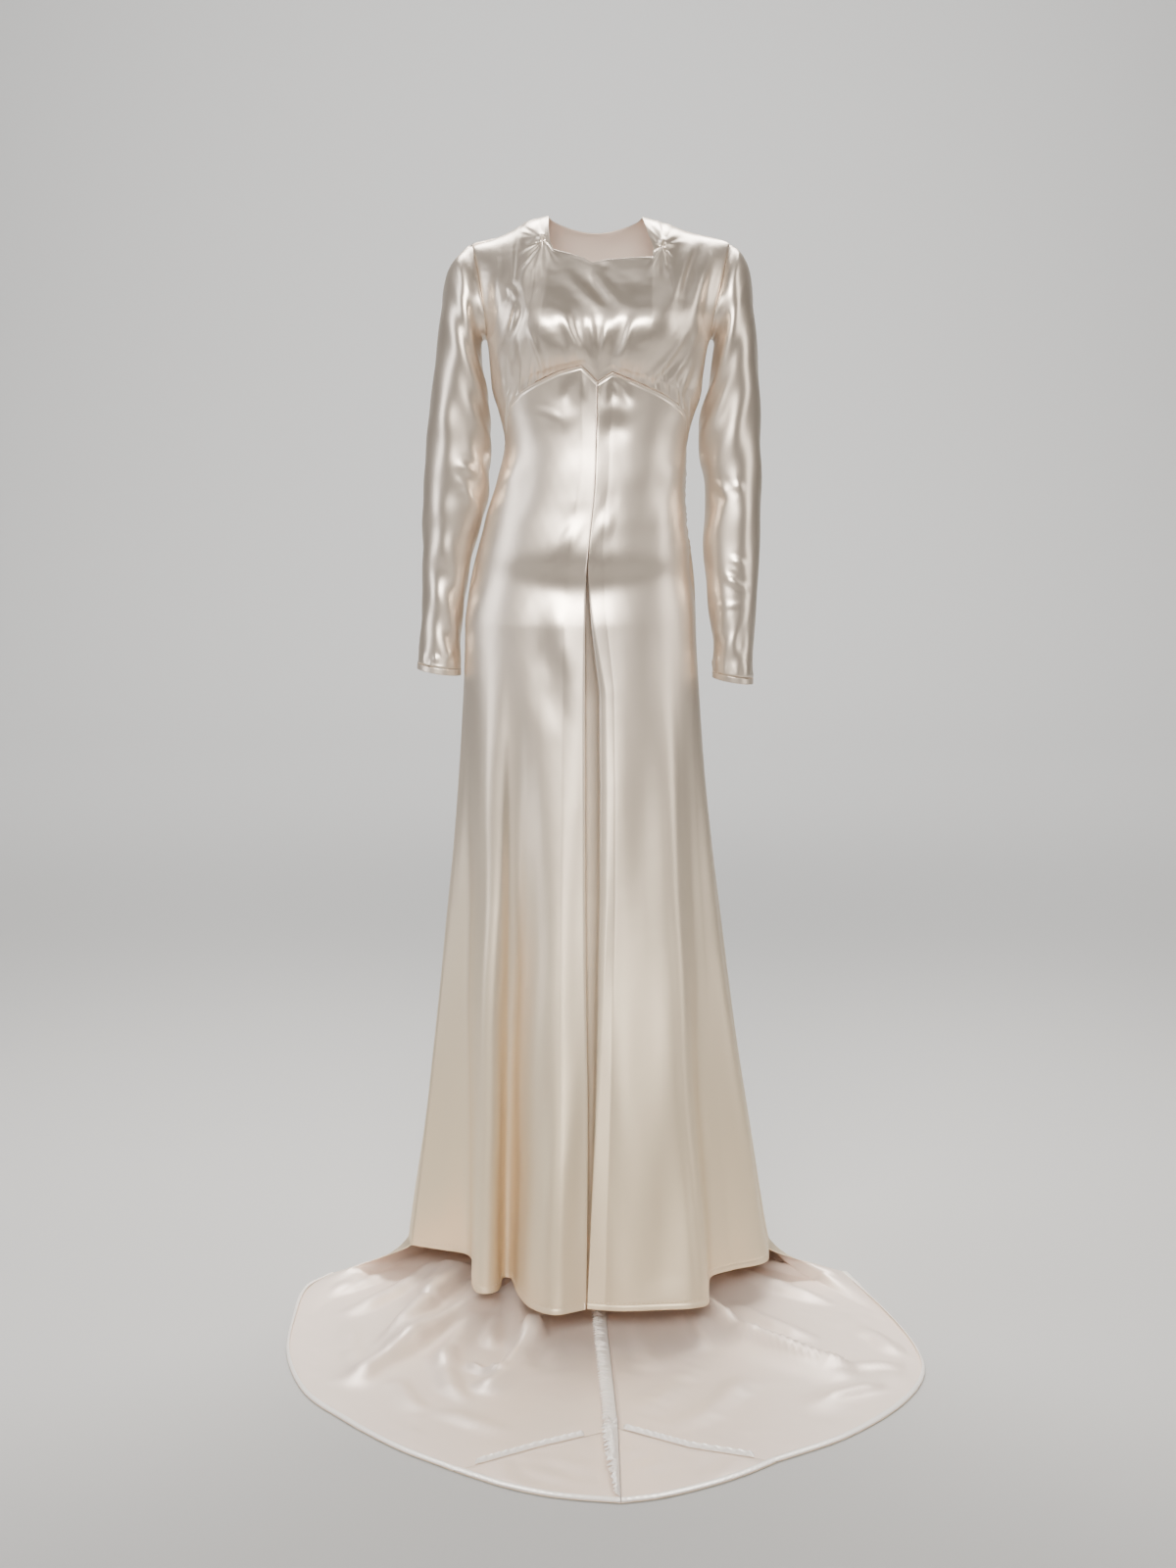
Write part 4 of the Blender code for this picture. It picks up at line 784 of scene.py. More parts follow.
def strip(name, line, inner, finishes, rise, rows=9):
    """A narrow strip of cloth that lies on the train's upturned inside, lifted by its own unevenness."""
    share = np.linspace(0, 1, rows)[:, None, None]
    grid = line + (inner - line) * share + (0, 0, 2 * CLOTH + 4 * SEAM_GAP)
    grid[..., 2] += rise
    outward = points(0, 0, 1.0 + 0 * grid[..., 0])
    return panel(name, grid, outward, finishes, slot="satin_inside")


def back_seam_allowance(finishes):
    """The centre-back seam's allowance, pressed towards the wearer's right, its cut edge crimped by its overcasting."""
    columns, down_rows, turn_rows, bed_rows = BACK_GRID
    grid = back_grid(-1, columns, down_rows, turn_rows, bed_rows)[down_rows + turn_rows + bed_rows // 10:]
    line, beside = grid[:, -1], grid[:, -2]
    inner = line + unit(beside - line) * BACK_ALLOWANCE
    tip = points(TIP_RIGHT["x"][-1] - SEAM_GAP, TIP_RIGHT["y"][-1] + 2 * TRAIN_HEM_WIDTH, FLOOR_CLEARANCE)
    more = np.linspace(0, 1, 25)[1:, None]
    line = np.concatenate([line, line[-1] + (tip - line[-1]) * more])
    wide = BACK_ALLOWANCE * np.interp(more, (0, 0.5, 1), (1, 0.8, 0.35))
    inner = np.concatenate([inner, line[-24:] - points(wide[:, 0], 0, 0)])
    both, at = even(np.concatenate([line - (2 * SEAM_GAP, 0, 0), inner], axis=1), 0.0013)
    line, inner = both[:, :3], both[:, 3:]
    chance = np.random.default_rng(81)
    knots = np.arange(0, at[-1], 0.0042)
    size = np.interp(at, knots, chance.uniform(0.2, 1.0, len(knots)))
    crimp = size * (0.5 + 0.5 * np.cos(2 * math.pi * at / 0.0086 + 1.5 * np.sin(at * 90)))
    inner = inner + points(0.0100 * crimp, 0, 0)
    share = np.linspace(0, 1, 9)[:, None]
    loose = smooth_step((at - at[-1] + 0.21) / 0.05) * smooth_step((at[-1] - at) / 0.04)
    rise = 0.0050 * crimp * share**2 + 0.0036 * share
    rise = rise + loose * (0.0060 * np.sin(math.pi * share) ** 2 + 0.0030 * share * (1 + np.sin(at * 130)))
    crumple = smooth_step(1 - np.abs(at - at[-1] + 0.215) / 0.018)
    rise = rise + crumple * (0.0036 + 0.0030 * np.sin(at * 900) * np.sin(9 * share + at * 300))
    return strip("back_seam_edge", line, inner, finishes, rise)


def piecing_allowance(name, side, finishes):
    """The allowance along a piecing seam, pressed towards the body of the train and puckered by its stitches."""
    share = np.linspace(PIECING_START, PIECING_END - 0.5 * UNDER_BACK_ALLOWANCE * (side < 0), 60)
    line, at = even(piecing_line(side, share), 0.0016)
    rows = np.linspace(0, 1, 9)[:, None]
    pucker = np.sin(2 * math.pi * (at / 0.0125 + 0.5 * rows) + 2.2 * np.sin(at * 47 + side))
    rise = (0.0012 + 0.0016 * np.maximum(pucker, 0)) * np.sin(math.pi * rows) ** 0.7 + 0.0030 * rows
    ends = smooth_step(at / 0.004) * smooth_step((at[-1] - at) / 0.004)
    return strip(name, line, line + (0, PIECING_ALLOWANCE, 0), finishes, rise * ends)


def train_hem(name, side, finishes):
    """The narrow turned hem along the train's outline."""
    rows = BACK_RIGHT if side < 0 else BACK_LEFT
    share = np.linspace(0, 0.7899, 260)
    line = train_edge(rows, share)
    fold = points(read(rows, "fold_x", share, "share"), read(rows, "fold_y", share, "share"), FLOOR_CLEARANCE)
    inner = line + unit(fold - line) * TRAIN_HEM_WIDTH
    share = np.linspace(0, 1, 120)[1:]
    more = tip_edge(side, share)
    more[-1, 0] += side * 2 * SEAM_GAP
    turn = -side * 0.3 * TRAIN_HEM_WIDTH * (1 - share[:, None] ** 3) * (1, 0, 0)
    inner = np.concatenate([inner, more + turn + (0, TRAIN_HEM_WIDTH, 0)])
    line = np.concatenate([line, more])
    at = np.append(0, np.cumsum(np.linalg.norm(np.diff(line, axis=0), axis=-1)))
    rows = np.linspace(0, 1, 9)[:, None]
    corner = np.exp(-(((at - 0.055) / 0.030) ** 2))
    pucker = np.maximum(np.sin(2 * math.pi * (at / 0.0105 + 0.6 * rows) + 2 * np.sin(at * 31 + side)), 0)
    rise = (0.0004 + 0.0018 * corner) * pucker * np.sin(math.pi * rows)
    rise = rise + 0.0005 * np.sin(math.pi * rows) ** 0.5 + 0.0018 * rows
    return strip(name, line, inner, finishes, rise), line, inner


def wobble(x, y, scale, seed):
    """Soft unevenness of about one height: a few long waves laid across each other."""
    chance = np.random.default_rng(seed)
    total = np.zeros(np.shape(x))
    for _ in range(7):
        way, phase = chance.uniform(0, math.pi), chance.uniform(0, 2 * math.pi)
        wave = (x * math.cos(way) + y * math.sin(way)) / (scale * chance.uniform(0.6, 1.5))
        total = total + np.sin(2 * math.pi * wave + phase)
    return total / 4


def soft_folds(x, y, rows, fading=0.42):
    """The height of listed creases and folds: each row is one bowed line, its width and its height."""
    total = np.zeros(np.shape(x))
    for x0, y0, x1, y1, width, height, bow in zip(*(rows[key] for key in "x0 y0 x1 y1 width height bow".split())):
        run = np.array((x1 - x0, y1 - y0))
        length = np.hypot(*run)
        t = ((x - x0) * run[0] + (y - y0) * run[1]) / length**2
        away = ((x - x0) * -run[1] + (y - y0) * run[0]) / length - bow * 4 * t * (1 - t)
        ends = smooth_step(t / fading) * smooth_step((1 - t) / fading)
        away = np.abs(away / width)
        total = total + height * ends * (np.exp(-(away**2)) - 0.3 * np.exp(-((away - 1.8) ** 2)))
    return total


def fan(x, y, centre, rays, seed):
    """Pleats that spread from a thread-gathered knot: each ray has its direction, its length and its height."""
    chance = np.random.default_rng(seed)
    x, y = x - centre[0], y - centre[1]
    total = np.zeros(np.shape(x))
    for angle, length, height in rays:
        way = math.radians(angle)
        t = (x * math.cos(way) + y * math.sin(way)) / length
        away = (-x * math.sin(way) + y * math.cos(way)) - 0.004 * chance.uniform(-1, 1) * t * t
        width = 0.0009 + 0.080 * np.clip(t, 0, 1) * length
        ends = smooth_step((t * length - 0.001) / 0.004) * smooth_step((1 - t) / 0.8)
        total = total + 1.2 * height * ends * np.exp(-((away / (1.25 * width)) ** 2))
    for _ in range(26):
        place = chance.normal(0, 0.0042, 2)
        size = chance.uniform(0.0009, 0.0017)
        spot = np.exp(-((x - place[0]) ** 2 + (y - place[1]) ** 2) / size**2)
        total = total + chance.uniform(-0.0008, 0.0010) * spot
    return total


def edge_ways(grid):
    """How far each point of a grid is from its first and last row and its first and last column."""
    step = np.linalg.norm(np.diff(grid, axis=0), axis=-1)
    down = np.concatenate([np.zeros((1, grid.shape[1])), np.cumsum(step, axis=0)])
    step = np.linalg.norm(np.diff(grid, axis=1), axis=-1)
    across = np.concatenate([np.zeros((grid.shape[0], 1)), np.cumsum(step, axis=1)], axis=1)
    return down, down[-1] - down, across, across[:, -1:] - across


def seam_dip(away, depth=0.0009, width=0.0022):
    """The soft hollow where two pieces are sewn together."""
    return -depth * np.exp(-((away / width) ** 2))


# Folds of the front, seen from the front: start and end across and up, width, height and bow
FRONT_FOLDS = table(
    "x0 y0 x1 y1 width height bow",
    (-0.036, 1.418, 0.022, 1.350, 0.0075, 0.0019, -0.003),
    (-0.006, 1.414, 0.036, 1.354, 0.0070, -0.0026, -0.002),
    (0.000, 1.418, 0.052, 1.354, 0.0080, 0.0022, -0.006),
    (-0.052, 1.400, -0.030, 1.350, 0.0110, -0.0012, 0.002),
    (0.048, 1.412, 0.070, 1.360, 0.0130, -0.0014, 0.003),
    (0.000, 1.366, 0.0125, 1.262, 0.0046, 0.0020, 0.000),
    (-0.018, 1.350, 0.0110, 1.268, 0.0048, 0.0022, 0.001),
    (0.026, 1.356, 0.0150, 1.268, 0.0046, 0.0020, -0.001),
    (-0.044, 1.372, -0.003, 1.284, 0.0072, 0.0028, 0.002),
    (-0.026, 1.352, -0.004, 1.306, 0.0056, -0.0018, 0.001),
    (0.060, 1.366, 0.026, 1.288, 0.0075, -0.0024, -0.002),
    (0.060, 1.350, 0.040, 1.284, 0.0034, 0.0014, -0.001),
    (-0.078, 1.342, -0.054, 1.266, 0.0032, 0.0016, 0.003),
    (-0.092, 1.336, -0.080, 1.262, 0.0050, 0.0012, 0.002),
    (0.144, 1.356, 0.056, 1.250, 0.0050, 0.0018, 0.006),
    (0.154, 1.362, 0.086, 1.240, 0.0058, 0.0018, 0.006),
    (0.156, 1.350, 0.106, 1.226, 0.0060, 0.0016, 0.003),
    (0.157, 1.348, 0.132, 1.226, 0.0055, 0.0026, 0.002),
    (0.140, 1.322, 0.076, 1.256, 0.0041, -0.0013, 0.004),
    (0.143, 1.458, 0.106, 1.352, 0.0120, 0.0030, -0.006),
    (0.154, 1.456, 0.120, 1.362, 0.0060, -0.0026, -0.005),
    (0.166, 1.452, 0.128, 1.318, 0.0090, 0.0034, -0.006),
    (0.170, 1.430, 0.150, 1.300, 0.0080, -0.0022, -0.004),
    (0.118, 1.440, 0.098, 1.372, 0.0100, -0.0016, -0.003),
    (-0.108, 1.394, -0.088, 1.368, 0.0040, 0.0018, 0.001),
    (-0.088, 1.374, -0.104, 1.320, 0.0040, 0.0022, 0.002),
    (-0.100, 1.400, -0.084, 1.340, 0.0055, -0.0016, 0.003),
    (-0.114, 1.440, -0.128, 1.322, 0.0110, 0.0024, 0.005),
    (-0.100, 1.436, -0.112, 1.350, 0.0080, -0.0018, 0.003),
    (-0.130, 1.420, -0.134, 1.290, 0.0090, -0.0018, 0.003),
    (-0.122, 1.330, -0.108, 1.222, 0.0065, 0.0020, 0.003),
    (-0.134, 1.340, -0.130, 1.216, 0.0070, 0.0018, 0.003),
    (-0.072, 1.430, -0.068, 1.372, 0.0070, -0.0012, 0.002),
)
# The small hollow beside the stitch that tacks the neck edge
TACK = (0.0215, 1.4150)
# The knots where the front is gathered to the neck: pleats by direction, length and height
KNOT_RIGHT = (-0.0566, 1.4470)
KNOT_RIGHT_RAYS = (
    (84, 0.036, 0.0020), (99, 0.042, 0.0026), (113, 0.046, 0.0030), (127, 0.048, 0.0032), (141, 0.050, 0.0032),
    (155, 0.048, 0.0028), (169, 0.044, 0.0024), (184, 0.038, 0.0018), (212, 0.050, 0.0014), (240, 0.078, 0.0024),
    (252, 0.066, 0.0024), (263, 0.056, 0.0022), (275, 0.036, 0.0018), (289, 0.042, 0.0020), (304, 0.036, 0.0016),
)
KNOT_LEFT = (0.0960, 1.4395)
KNOT_LEFT_RAYS = (
    (122, 0.044, 0.0024), (108, 0.046, 0.0028), (94, 0.046, 0.0030), (80, 0.046, 0.0028), (66, 0.046, 0.0028),
    (51, 0.046, 0.0026), (36, 0.048, 0.0022), (20, 0.040, 0.0018), (4, 0.030, 0.0012), (220, 0.034, 0.0018),
    (238, 0.044, 0.0022), (251, 0.040, 0.0022), (264, 0.040, 0.0022), (277, 0.042, 0.0022), (291, 0.038, 0.0018),
    (310, 0.032, 0.0014),
)


def waist_gathers(x, height, seam_height, seed):
    """The small gathers that rise from the waist seam towards the cups."""
    chance = np.random.default_rng(seed)
    above = height - seam_height
    total = np.zeros(np.shape(x))
    for cup, spread in ((-0.058, (-0.112, -0.012)), (0.084, (0.034, 0.140))):
        foot = spread[0]
        while foot < spread[1]:
            reach = chance.uniform(0.018, 0.052)
            lean = (cup - foot) * chance.uniform(0.10, 0.35) + chance.uniform(-0.003, 0.003)
            middle = foot + lean * np.clip(above / reach, 0, 1.4)
            width = chance.uniform(0.0013, 0.0019) * (1 + np.clip(above, 0, 1) / 0.060)
            size = chance.uniform(0.0012, 0.0022)
            total = total + size * np.exp(-(((x - middle) / width) ** 2)) * smooth_step((reach - above) / reach)
            foot += chance.uniform(0.0070, 0.0140)
    return total * smooth_step(above / 0.004)


def bodice_relief(grid, seam_height):
    """Folds and gathers of the front."""
    x, height = grid[..., 0], grid[..., 2]
    folds = soft_folds(x, height, FRONT_FOLDS)
    folds = folds + fan(x, height, KNOT_RIGHT, KNOT_RIGHT_RAYS, 3) + fan(x, height, KNOT_LEFT, KNOT_LEFT_RAYS, 4)
    folds = folds + waist_gathers(x, height, seam_height, 11)
    folds = folds + 0.0005 * wobble(x, height, 0.060, 21) + 0.00006 * wobble(x, height, 0.016, 22)
    over_cups = smooth_step((1.412 - height) / 0.075) * smooth_step((height - 1.262) / 0.060)
    folds = folds + 0.0050 * over_cups * np.exp(-((x / 0.105) ** 4))
    folds = folds - 0.0008 * np.exp(-(((x - TACK[0]) / 0.0060) ** 2) - ((height - TACK[1]) / 0.0045) ** 2)
    bottom, top, right, left = edge_ways(grid)
    side = np.minimum(right, left)
    folds = folds * smooth_step(side / 0.010) * smooth_step(top / 0.005) * smooth_step(bottom / 0.002)
    return folds + seam_dip(side) + seam_dip(bottom, 0.0004, 0.0010)


BACK_BODICE_FOLDS = table(
    "x0 y0 x1 y1 width height bow",
    (-0.120, 1.410, -0.070, 1.330, 0.0130, 0.0023, 0.005), (0.146, 1.412, 0.098, 1.330, 0.0130, 0.0023, -0.005),
    (-0.134, 1.380, -0.110, 1.230, 0.0104, 0.0019, 0.004), (0.156, 1.384, 0.130, 1.236, 0.0104, 0.0019, -0.004),
    (-0.070, 1.250, 0.020, 1.222, 0.0104, 0.0018, 0.003), (0.096, 1.254, 0.000, 1.224, 0.0104, 0.0016, -0.003),
    (-0.090, 1.205, 0.000, 1.190, 0.0091, 0.0016, 0.003), (0.110, 1.204, 0.020, 1.188, 0.0091, 0.0016, -0.003),
    (-0.040, 1.440, -0.020, 1.340, 0.0117, 0.0014, 0.003), (0.070, 1.442, 0.050, 1.340, 0.0117, 0.0014, -0.003),
)


def back_bodice_relief(grid):
    """Folds of the plain back."""
    x, height = grid[..., 0], grid[..., 2]
    folds = soft_folds(x, height, BACK_BODICE_FOLDS) + 0.0006 * wobble(x, height, 0.05, 31)
    bottom, top, right, left = edge_ways(grid)
    side = np.minimum(right, left)
    folds = folds * smooth_step(side / 0.010) * smooth_step(top / 0.008) * smooth_step(bottom / 0.008)
    return folds + seam_dip(side) + seam_dip(bottom)


# Folds of the two front skirt panels
SKIRT_FOLDS = table(
    "x0 y0 x1 y1 width height bow",
    (-0.018, 1.276, -0.030, 1.236, 0.0068, -0.0013, -0.002),
    (0.036, 1.274, 0.056, 1.232, 0.0068, -0.0013, 0.002),
    (-0.008, 1.282, -0.004, 1.240, 0.0047, 0.0011, 0.001),
    (0.026, 1.274, 0.024, 1.236, 0.0047, 0.0012, -0.001),
    (0.030, 1.268, 0.044, 1.246, 0.0041, 0.0011, 0.001),
    (0.006, 1.236, 0.070, 1.222, 0.0121, 0.0016, 0.004),
    (-0.008, 1.216, -0.060, 1.236, 0.0135, 0.0013, 0.004),
    (0.008, 1.196, 0.060, 1.206, 0.0135, -0.0013, 0.003),
    (-0.074, 1.231, -0.028, 1.216, 0.0038, 0.0008, 0.003),
    (-0.036, 1.074, -0.008, 1.060, 0.0203, 0.0018, 0.003),
    (0.006, 1.082, 0.036, 1.076, 0.0162, 0.0016, 0.003),
    (0.080, 1.100, 0.128, 1.060, 0.0216, 0.0019, -0.004),
    (-0.106, 1.170, -0.128, 1.080, 0.0162, 0.0020, 0.004),
    (-0.094, 1.180, -0.110, 1.120, 0.0121, 0.0013, 0.003),
    (0.112, 1.170, 0.120, 1.110, 0.0135, 0.0016, -0.003),
    (-0.044, 1.000, -0.026, 0.870, 0.0149, 0.0024, 0.000),
    (-0.058, 0.960, -0.040, 0.800, 0.0189, -0.0026, -0.004),
    (-0.016, 0.980, -0.014, 0.560, 0.0149, 0.0016, 0.000),
    (0.036, 0.985, 0.040, 0.600, 0.0270, 0.0014, 0.002),
    (0.098, 0.940, 0.112, 0.520, 0.0351, 0.0022, 0.004),
    (-0.110, 0.930, -0.124, 0.560, 0.0270, 0.0018, -0.004),
    (-0.082, 0.860, -0.086, 0.420, 0.0216, -0.0018, -0.003),
    (0.070, 0.820, 0.082, 0.300, 0.0297, -0.0014, 0.003),
)


def hip_rise(x, height):
    """The belly and hip: a soft shelf above, a hollow band below it."""
    shelf = 0.0020 * np.exp(-(((height - 1.066 - 0.25 * np.abs(x + 0.02)) / 0.024) ** 2))
    band = -0.0046 * np.exp(-(((height - 0.998 - 0.10 * np.abs(x)) / 0.030) ** 2))
    belly = 0.0032 * smooth_step((height - 1.062) / 0.055) * smooth_step((1.265 - height) / 0.14) * np.exp(-((x / 0.10) ** 2))
    return shelf + band + belly


def front_relief(grid, side):
    """Folds and creases of a front skirt panel."""
    x, height = grid[..., 0], grid[..., 2]
    top, hem, seam, centre = edge_ways(grid)
    lower = smooth_step((1.0 - height) / 0.5)
    folds = (0.0008 + 0.0010 * lower) * wobble(x, height * 0.22, 0.075, 41 + side)
    folds = folds + 0.00006 * wobble(x, height * 0.5, 0.020, 43 + side)
    folds = folds * smooth_step(centre / 0.030) + soft_folds(x, height, SKIRT_FOLDS) + hip_rise(x, height)
    folds = folds * smooth_step(seam / 0.012) * smooth_step(top / 0.006)
    folds = folds * (0.25 + 0.75 * smooth_step(hem / 0.05))
    placket = np.maximum(np.sin(height * 560 + 2 * np.sin(height * 150)), 0) * np.exp(-(((seam - 0.007) / 0.005) ** 2))
    open_side = smooth_step((height - 1.035) / 0.01) * smooth_step((1.165 - height) / 0.01) * (side > 0)
    folds = folds + 0.0016 * placket * open_side
    folds[:, -TURNED:] = folds[:, -TURNED - 1:-TURNED]
    ridge = 0.0007 * np.exp(-((top / 0.0013) ** 2)) - 0.0006 * np.exp(-(((top - 0.0034) / 0.0014) ** 2))
    stitched = -0.0005 * np.exp(-(((hem - FRONT_HEM_WIDTH) / 0.0014) ** 2))
    return folds + seam_dip(seam) + ridge + stitched


BACK_SKIRT_FOLDS = table(
    "x0 y0 x1 y1 width height bow",
    (-0.060, 1.150, -0.070, 1.080, 0.012, 0.0030, 0.003), (0.070, 1.152, 0.080, 1.078, 0.012, 0.0030, -0.003),
    (-0.070, 0.980, -0.090, 0.400, 0.026, 0.0050, 0.006), (0.080, 0.980, 0.100, 0.380, 0.028, 0.0050, -0.006),
    (-0.020, 0.940, -0.030, 0.300, 0.022, 0.0046, 0.004), (0.034, 0.930, 0.044, 0.320, 0.022, 0.0044, -0.004),
    (-0.130, 0.920, -0.180, 0.300, 0.030, 0.0050, 0.006), (0.130, 0.900, 0.184, 0.300, 0.030, 0.0050, -0.006),
    (-0.100, 1.080, -0.040, 1.040, 0.012, 0.0024, 0.004), (0.110, 1.078, 0.050, 1.040, 0.012, 0.0024, -0.004),
)
# Folds of the train on the floor, across and back
TRAIN_CREASES = table(
    "x0 y0 x1 y1 width height bow",
    (-0.062, -0.060, -0.084, -0.250, 0.0110, 0.0120, 0.004),
    (-0.076, -0.205, -0.124, -0.322, 0.0110, 0.0110, 0.006),
    (-0.098, -0.315, -0.158, -0.262, 0.0090, 0.0090, 0.012),
    (-0.040, -0.110, -0.056, -0.300, 0.0150, 0.0050, 0.004),
    (-0.120, -0.070, -0.128, -0.235, 0.0130, 0.0080, -0.004),
    (-0.160, 0.150, -0.298, -0.250, 0.0150, 0.0120, 0.012),
    (-0.085, 0.020, -0.306, -0.345, 0.0140, 0.0120, -0.010),
    (-0.200, 0.150, -0.350, -0.120, 0.0170, 0.0090, 0.008),
    (-0.250, 0.120, -0.372, -0.020, 0.0150, 0.0070, 0.004),
    (-0.190, -0.190, -0.150, -0.420, 0.0160, 0.0056, -0.014),
    (-0.250, -0.300, -0.200, -0.440, 0.0180, 0.0040, -0.010),
    (-0.320, -0.100, -0.270, -0.360, 0.0180, 0.0036, -0.016),
    (-0.190, -0.420, -0.090, -0.500, 0.0180, 0.0034, -0.006),
    (0.146, -0.030, 0.205, -0.175, 0.0110, 0.0120, -0.006),
    (0.180, -0.150, 0.352, -0.306, 0.0110, 0.0130, -0.010),
    (0.118, -0.040, 0.160, -0.240, 0.0140, 0.0060, -0.004),
    (0.180, 0.140, 0.352, -0.060, 0.0170, 0.0090, -0.008),
    (0.226, 0.140, 0.376, 0.040, 0.0140, 0.0090, -0.004),
    (0.190, -0.030, 0.320, -0.200, 0.0150, 0.0070, -0.008),
    (0.064, -0.080, 0.086, -0.320, 0.0170, 0.0046, -0.004),
    (0.210, -0.300, 0.110, -0.490, 0.0190, 0.0040, 0.008),
    (0.140, -0.260, 0.060, -0.440, 0.0190, 0.0030, 0.010),
    (0.290, -0.290, 0.420, -0.284, 0.0160, 0.0070, 0.006),
    (0.290, -0.400, 0.386, -0.350, 0.0120, 0.0050, 0.004),
    (0.360, -0.130, 0.410, -0.250, 0.0130, 0.0050, 0.006),
)


def back_relief(grid, side, down_rows):
    """Folds and creases of a back panel and its half of the train."""
    x, y, height = grid[..., 0], grid[..., 1], grid[..., 2]
    rows = np.arange(len(grid))[:, None]
    standing = smooth_step((down_rows - rows) / 12 + 0.5)
    wall = soft_folds(x, height, BACK_SKIRT_FOLDS) + 0.0016 * wobble(x, height * 0.22, 0.08, 51 + side)
    floor = soft_folds(x, y, TRAIN_CREASES, 0.3) + 0.0010 * wobble(x, y, 0.10, 53 + side)
    floor = floor + 0.0005 * wobble(x, y, 0.035, 57 + side)
    lying = smooth_step((rows - down_rows) / 14)
    top, rim, seam, centre = edge_ways(grid)
    fade = smooth_step(seam / 0.030) * smooth_step(centre / 0.012) * smooth_step(top / 0.012)
    fade = fade * smooth_step((rim - 0.006) / 0.040)
    folds = wall * standing - np.maximum(floor, 0) * lying
    return folds * fade + (seam_dip(np.minimum(seam, centre)) + seam_dip(top)) * standing


# Drapes and creases of the sleeves, across and up, for the front; the back has like ones a little lower
SLEEVE_RIGHT_FOLDS = table(
    "x0 y0 x1 y1 width height bow",
    (-0.176, 1.404, -0.150, 1.318, 0.0101, 0.0022, 0.004), (-0.166, 1.392, -0.146, 1.330, 0.0072, -0.0019, 0.003),
    (-0.186, 1.380, -0.170, 1.250, 0.0130, 0.0019, 0.005), (-0.160, 1.340, -0.150, 1.200, 0.0130, 0.0014, 0.004),
    (-0.196, 1.300, -0.186, 1.150, 0.0145, 0.0017, 0.003), (-0.172, 1.260, -0.160, 1.140, 0.0116, -0.0014, -0.003),
    (-0.178, 1.162, -0.148, 1.140, 0.0065, 0.0015, 0.003), (-0.176, 1.148, -0.146, 1.132, 0.0058, -0.0013, 0.002),
    (-0.170, 1.128, -0.150, 1.104, 0.0065, 0.0013, 0.002), (-0.200, 1.140, -0.190, 1.000, 0.0130, 0.0014, 0.003),
    (-0.190, 1.090, -0.172, 0.960, 0.0116, 0.0014, 0.003), (-0.206, 1.020, -0.198, 0.920, 0.0101, 0.0012, 0.002),
    (-0.186, 0.960, -0.178, 0.905, 0.0072, 0.0011, 0.002), (-0.168, 1.060, -0.164, 0.980, 0.0087, 0.0011, 0.001),
)
SLEEVE_LEFT_FOLDS = table(
    "x0 y0 x1 y1 width height bow",
    (0.205, 1.392, 0.160, 1.300, 0.0101, -0.0025, -0.005), (0.210, 1.404, 0.176, 1.318, 0.0116, 0.0023, -0.005),
    (0.198, 1.360, 0.166, 1.262, 0.0116, 0.0021, -0.004), (0.218, 1.360, 0.206, 1.210, 0.0130, 0.0017, -0.003),
    (0.186, 1.300, 0.176, 1.180, 0.0116, -0.0017, 0.003), (0.200, 1.262, 0.192, 1.150, 0.0116, 0.0017, -0.002),
    (0.166, 1.136, 0.184, 1.118, 0.0058, 0.0017, 0.002), (0.190, 1.134, 0.206, 1.122, 0.0052, 0.0014, 0.002),
    (0.166, 1.118, 0.182, 1.106, 0.0052, -0.0013, 0.002), (0.214, 1.130, 0.204, 1.020, 0.0116, 0.0014, -0.003),
    (0.184, 1.034, 0.214, 1.022, 0.0043, 0.0018, 0.002), (0.182, 1.022, 0.212, 1.004, 0.0043, -0.0015, -0.002),
    (0.180, 1.010, 0.204, 0.994, 0.0049, 0.0017, 0.002), (0.196, 1.000, 0.216, 0.990, 0.0041, 0.0014, 0.001),
    (0.164, 0.972, 0.216, 0.974, 0.0032, 0.0010, -0.001), (0.190, 0.990, 0.176, 0.930, 0.0087, 0.0014, 0.002),
    (0.170, 0.948, 0.186, 0.900, 0.0072, 0.0018, 0.002), (0.206, 0.950, 0.204, 0.900, 0.0072, -0.0014, 0.001),
    (0.190, 0.940, 0.194, 0.896, 0.0072, 0.0014, 0.001),
)


def sleeve_relief(grid, side):
    """Folds and creases of a sleeve."""
    behind = smooth_step(grid[..., 1] / 0.02 + 0.5)
    x, height = grid[..., 0] - side * 0.006 * behind, grid[..., 2] + 0.016 * behind
    folds = soft_folds(x, height, SLEEVE_RIGHT_FOLDS if side < 0 else SLEEVE_LEFT_FOLDS)
    ring = np.arange(grid.shape[1]) / grid.shape[1] * 2 * math.pi
    reach = np.linalg.norm(np.diff(grid, axis=0), axis=-1).mean(axis=1)
    down = np.append(0, np.cumsum(reach))[:, None]
    folds = folds + 0.0013 * wobble(0.05 * np.cos(ring), down + 0.05 * np.sin(ring), 0.075, 61 + side)
    wrist = down[-1] - down
    chance = np.random.default_rng(67 + side)
    pucker = np.zeros(grid.shape[:2])
    for _ in range(46):
        place, high = chance.uniform(0, 2 * math.pi), chance.uniform(0, 0.026)
        turn = np.angle(np.exp(1j * (ring - place))) * 0.030
        size = chance.uniform(0.0018, 0.0034)
        spot = np.exp(-((turn / size) ** 2) - ((wrist - high) / (size * 1.6)) ** 2)
        pucker = pucker + chance.uniform(-0.0012, 0.0016) * spot
    return (folds + pucker) * smooth_step(down / 0.010) * smooth_step(wrist / 0.002) + seam_dip(down)


def tip_relief(grid, side):
    """Soft unevenness of the train's tip."""
    top, rim, outer, centre = edge_ways(grid)
    rise = 0.0011 * (1 + wobble(grid[..., 0], grid[..., 1], 0.05, 71 + side))
    return rise * smooth_step(np.minimum(np.minimum(top, rim), np.minimum(outer, centre)) / 0.018)


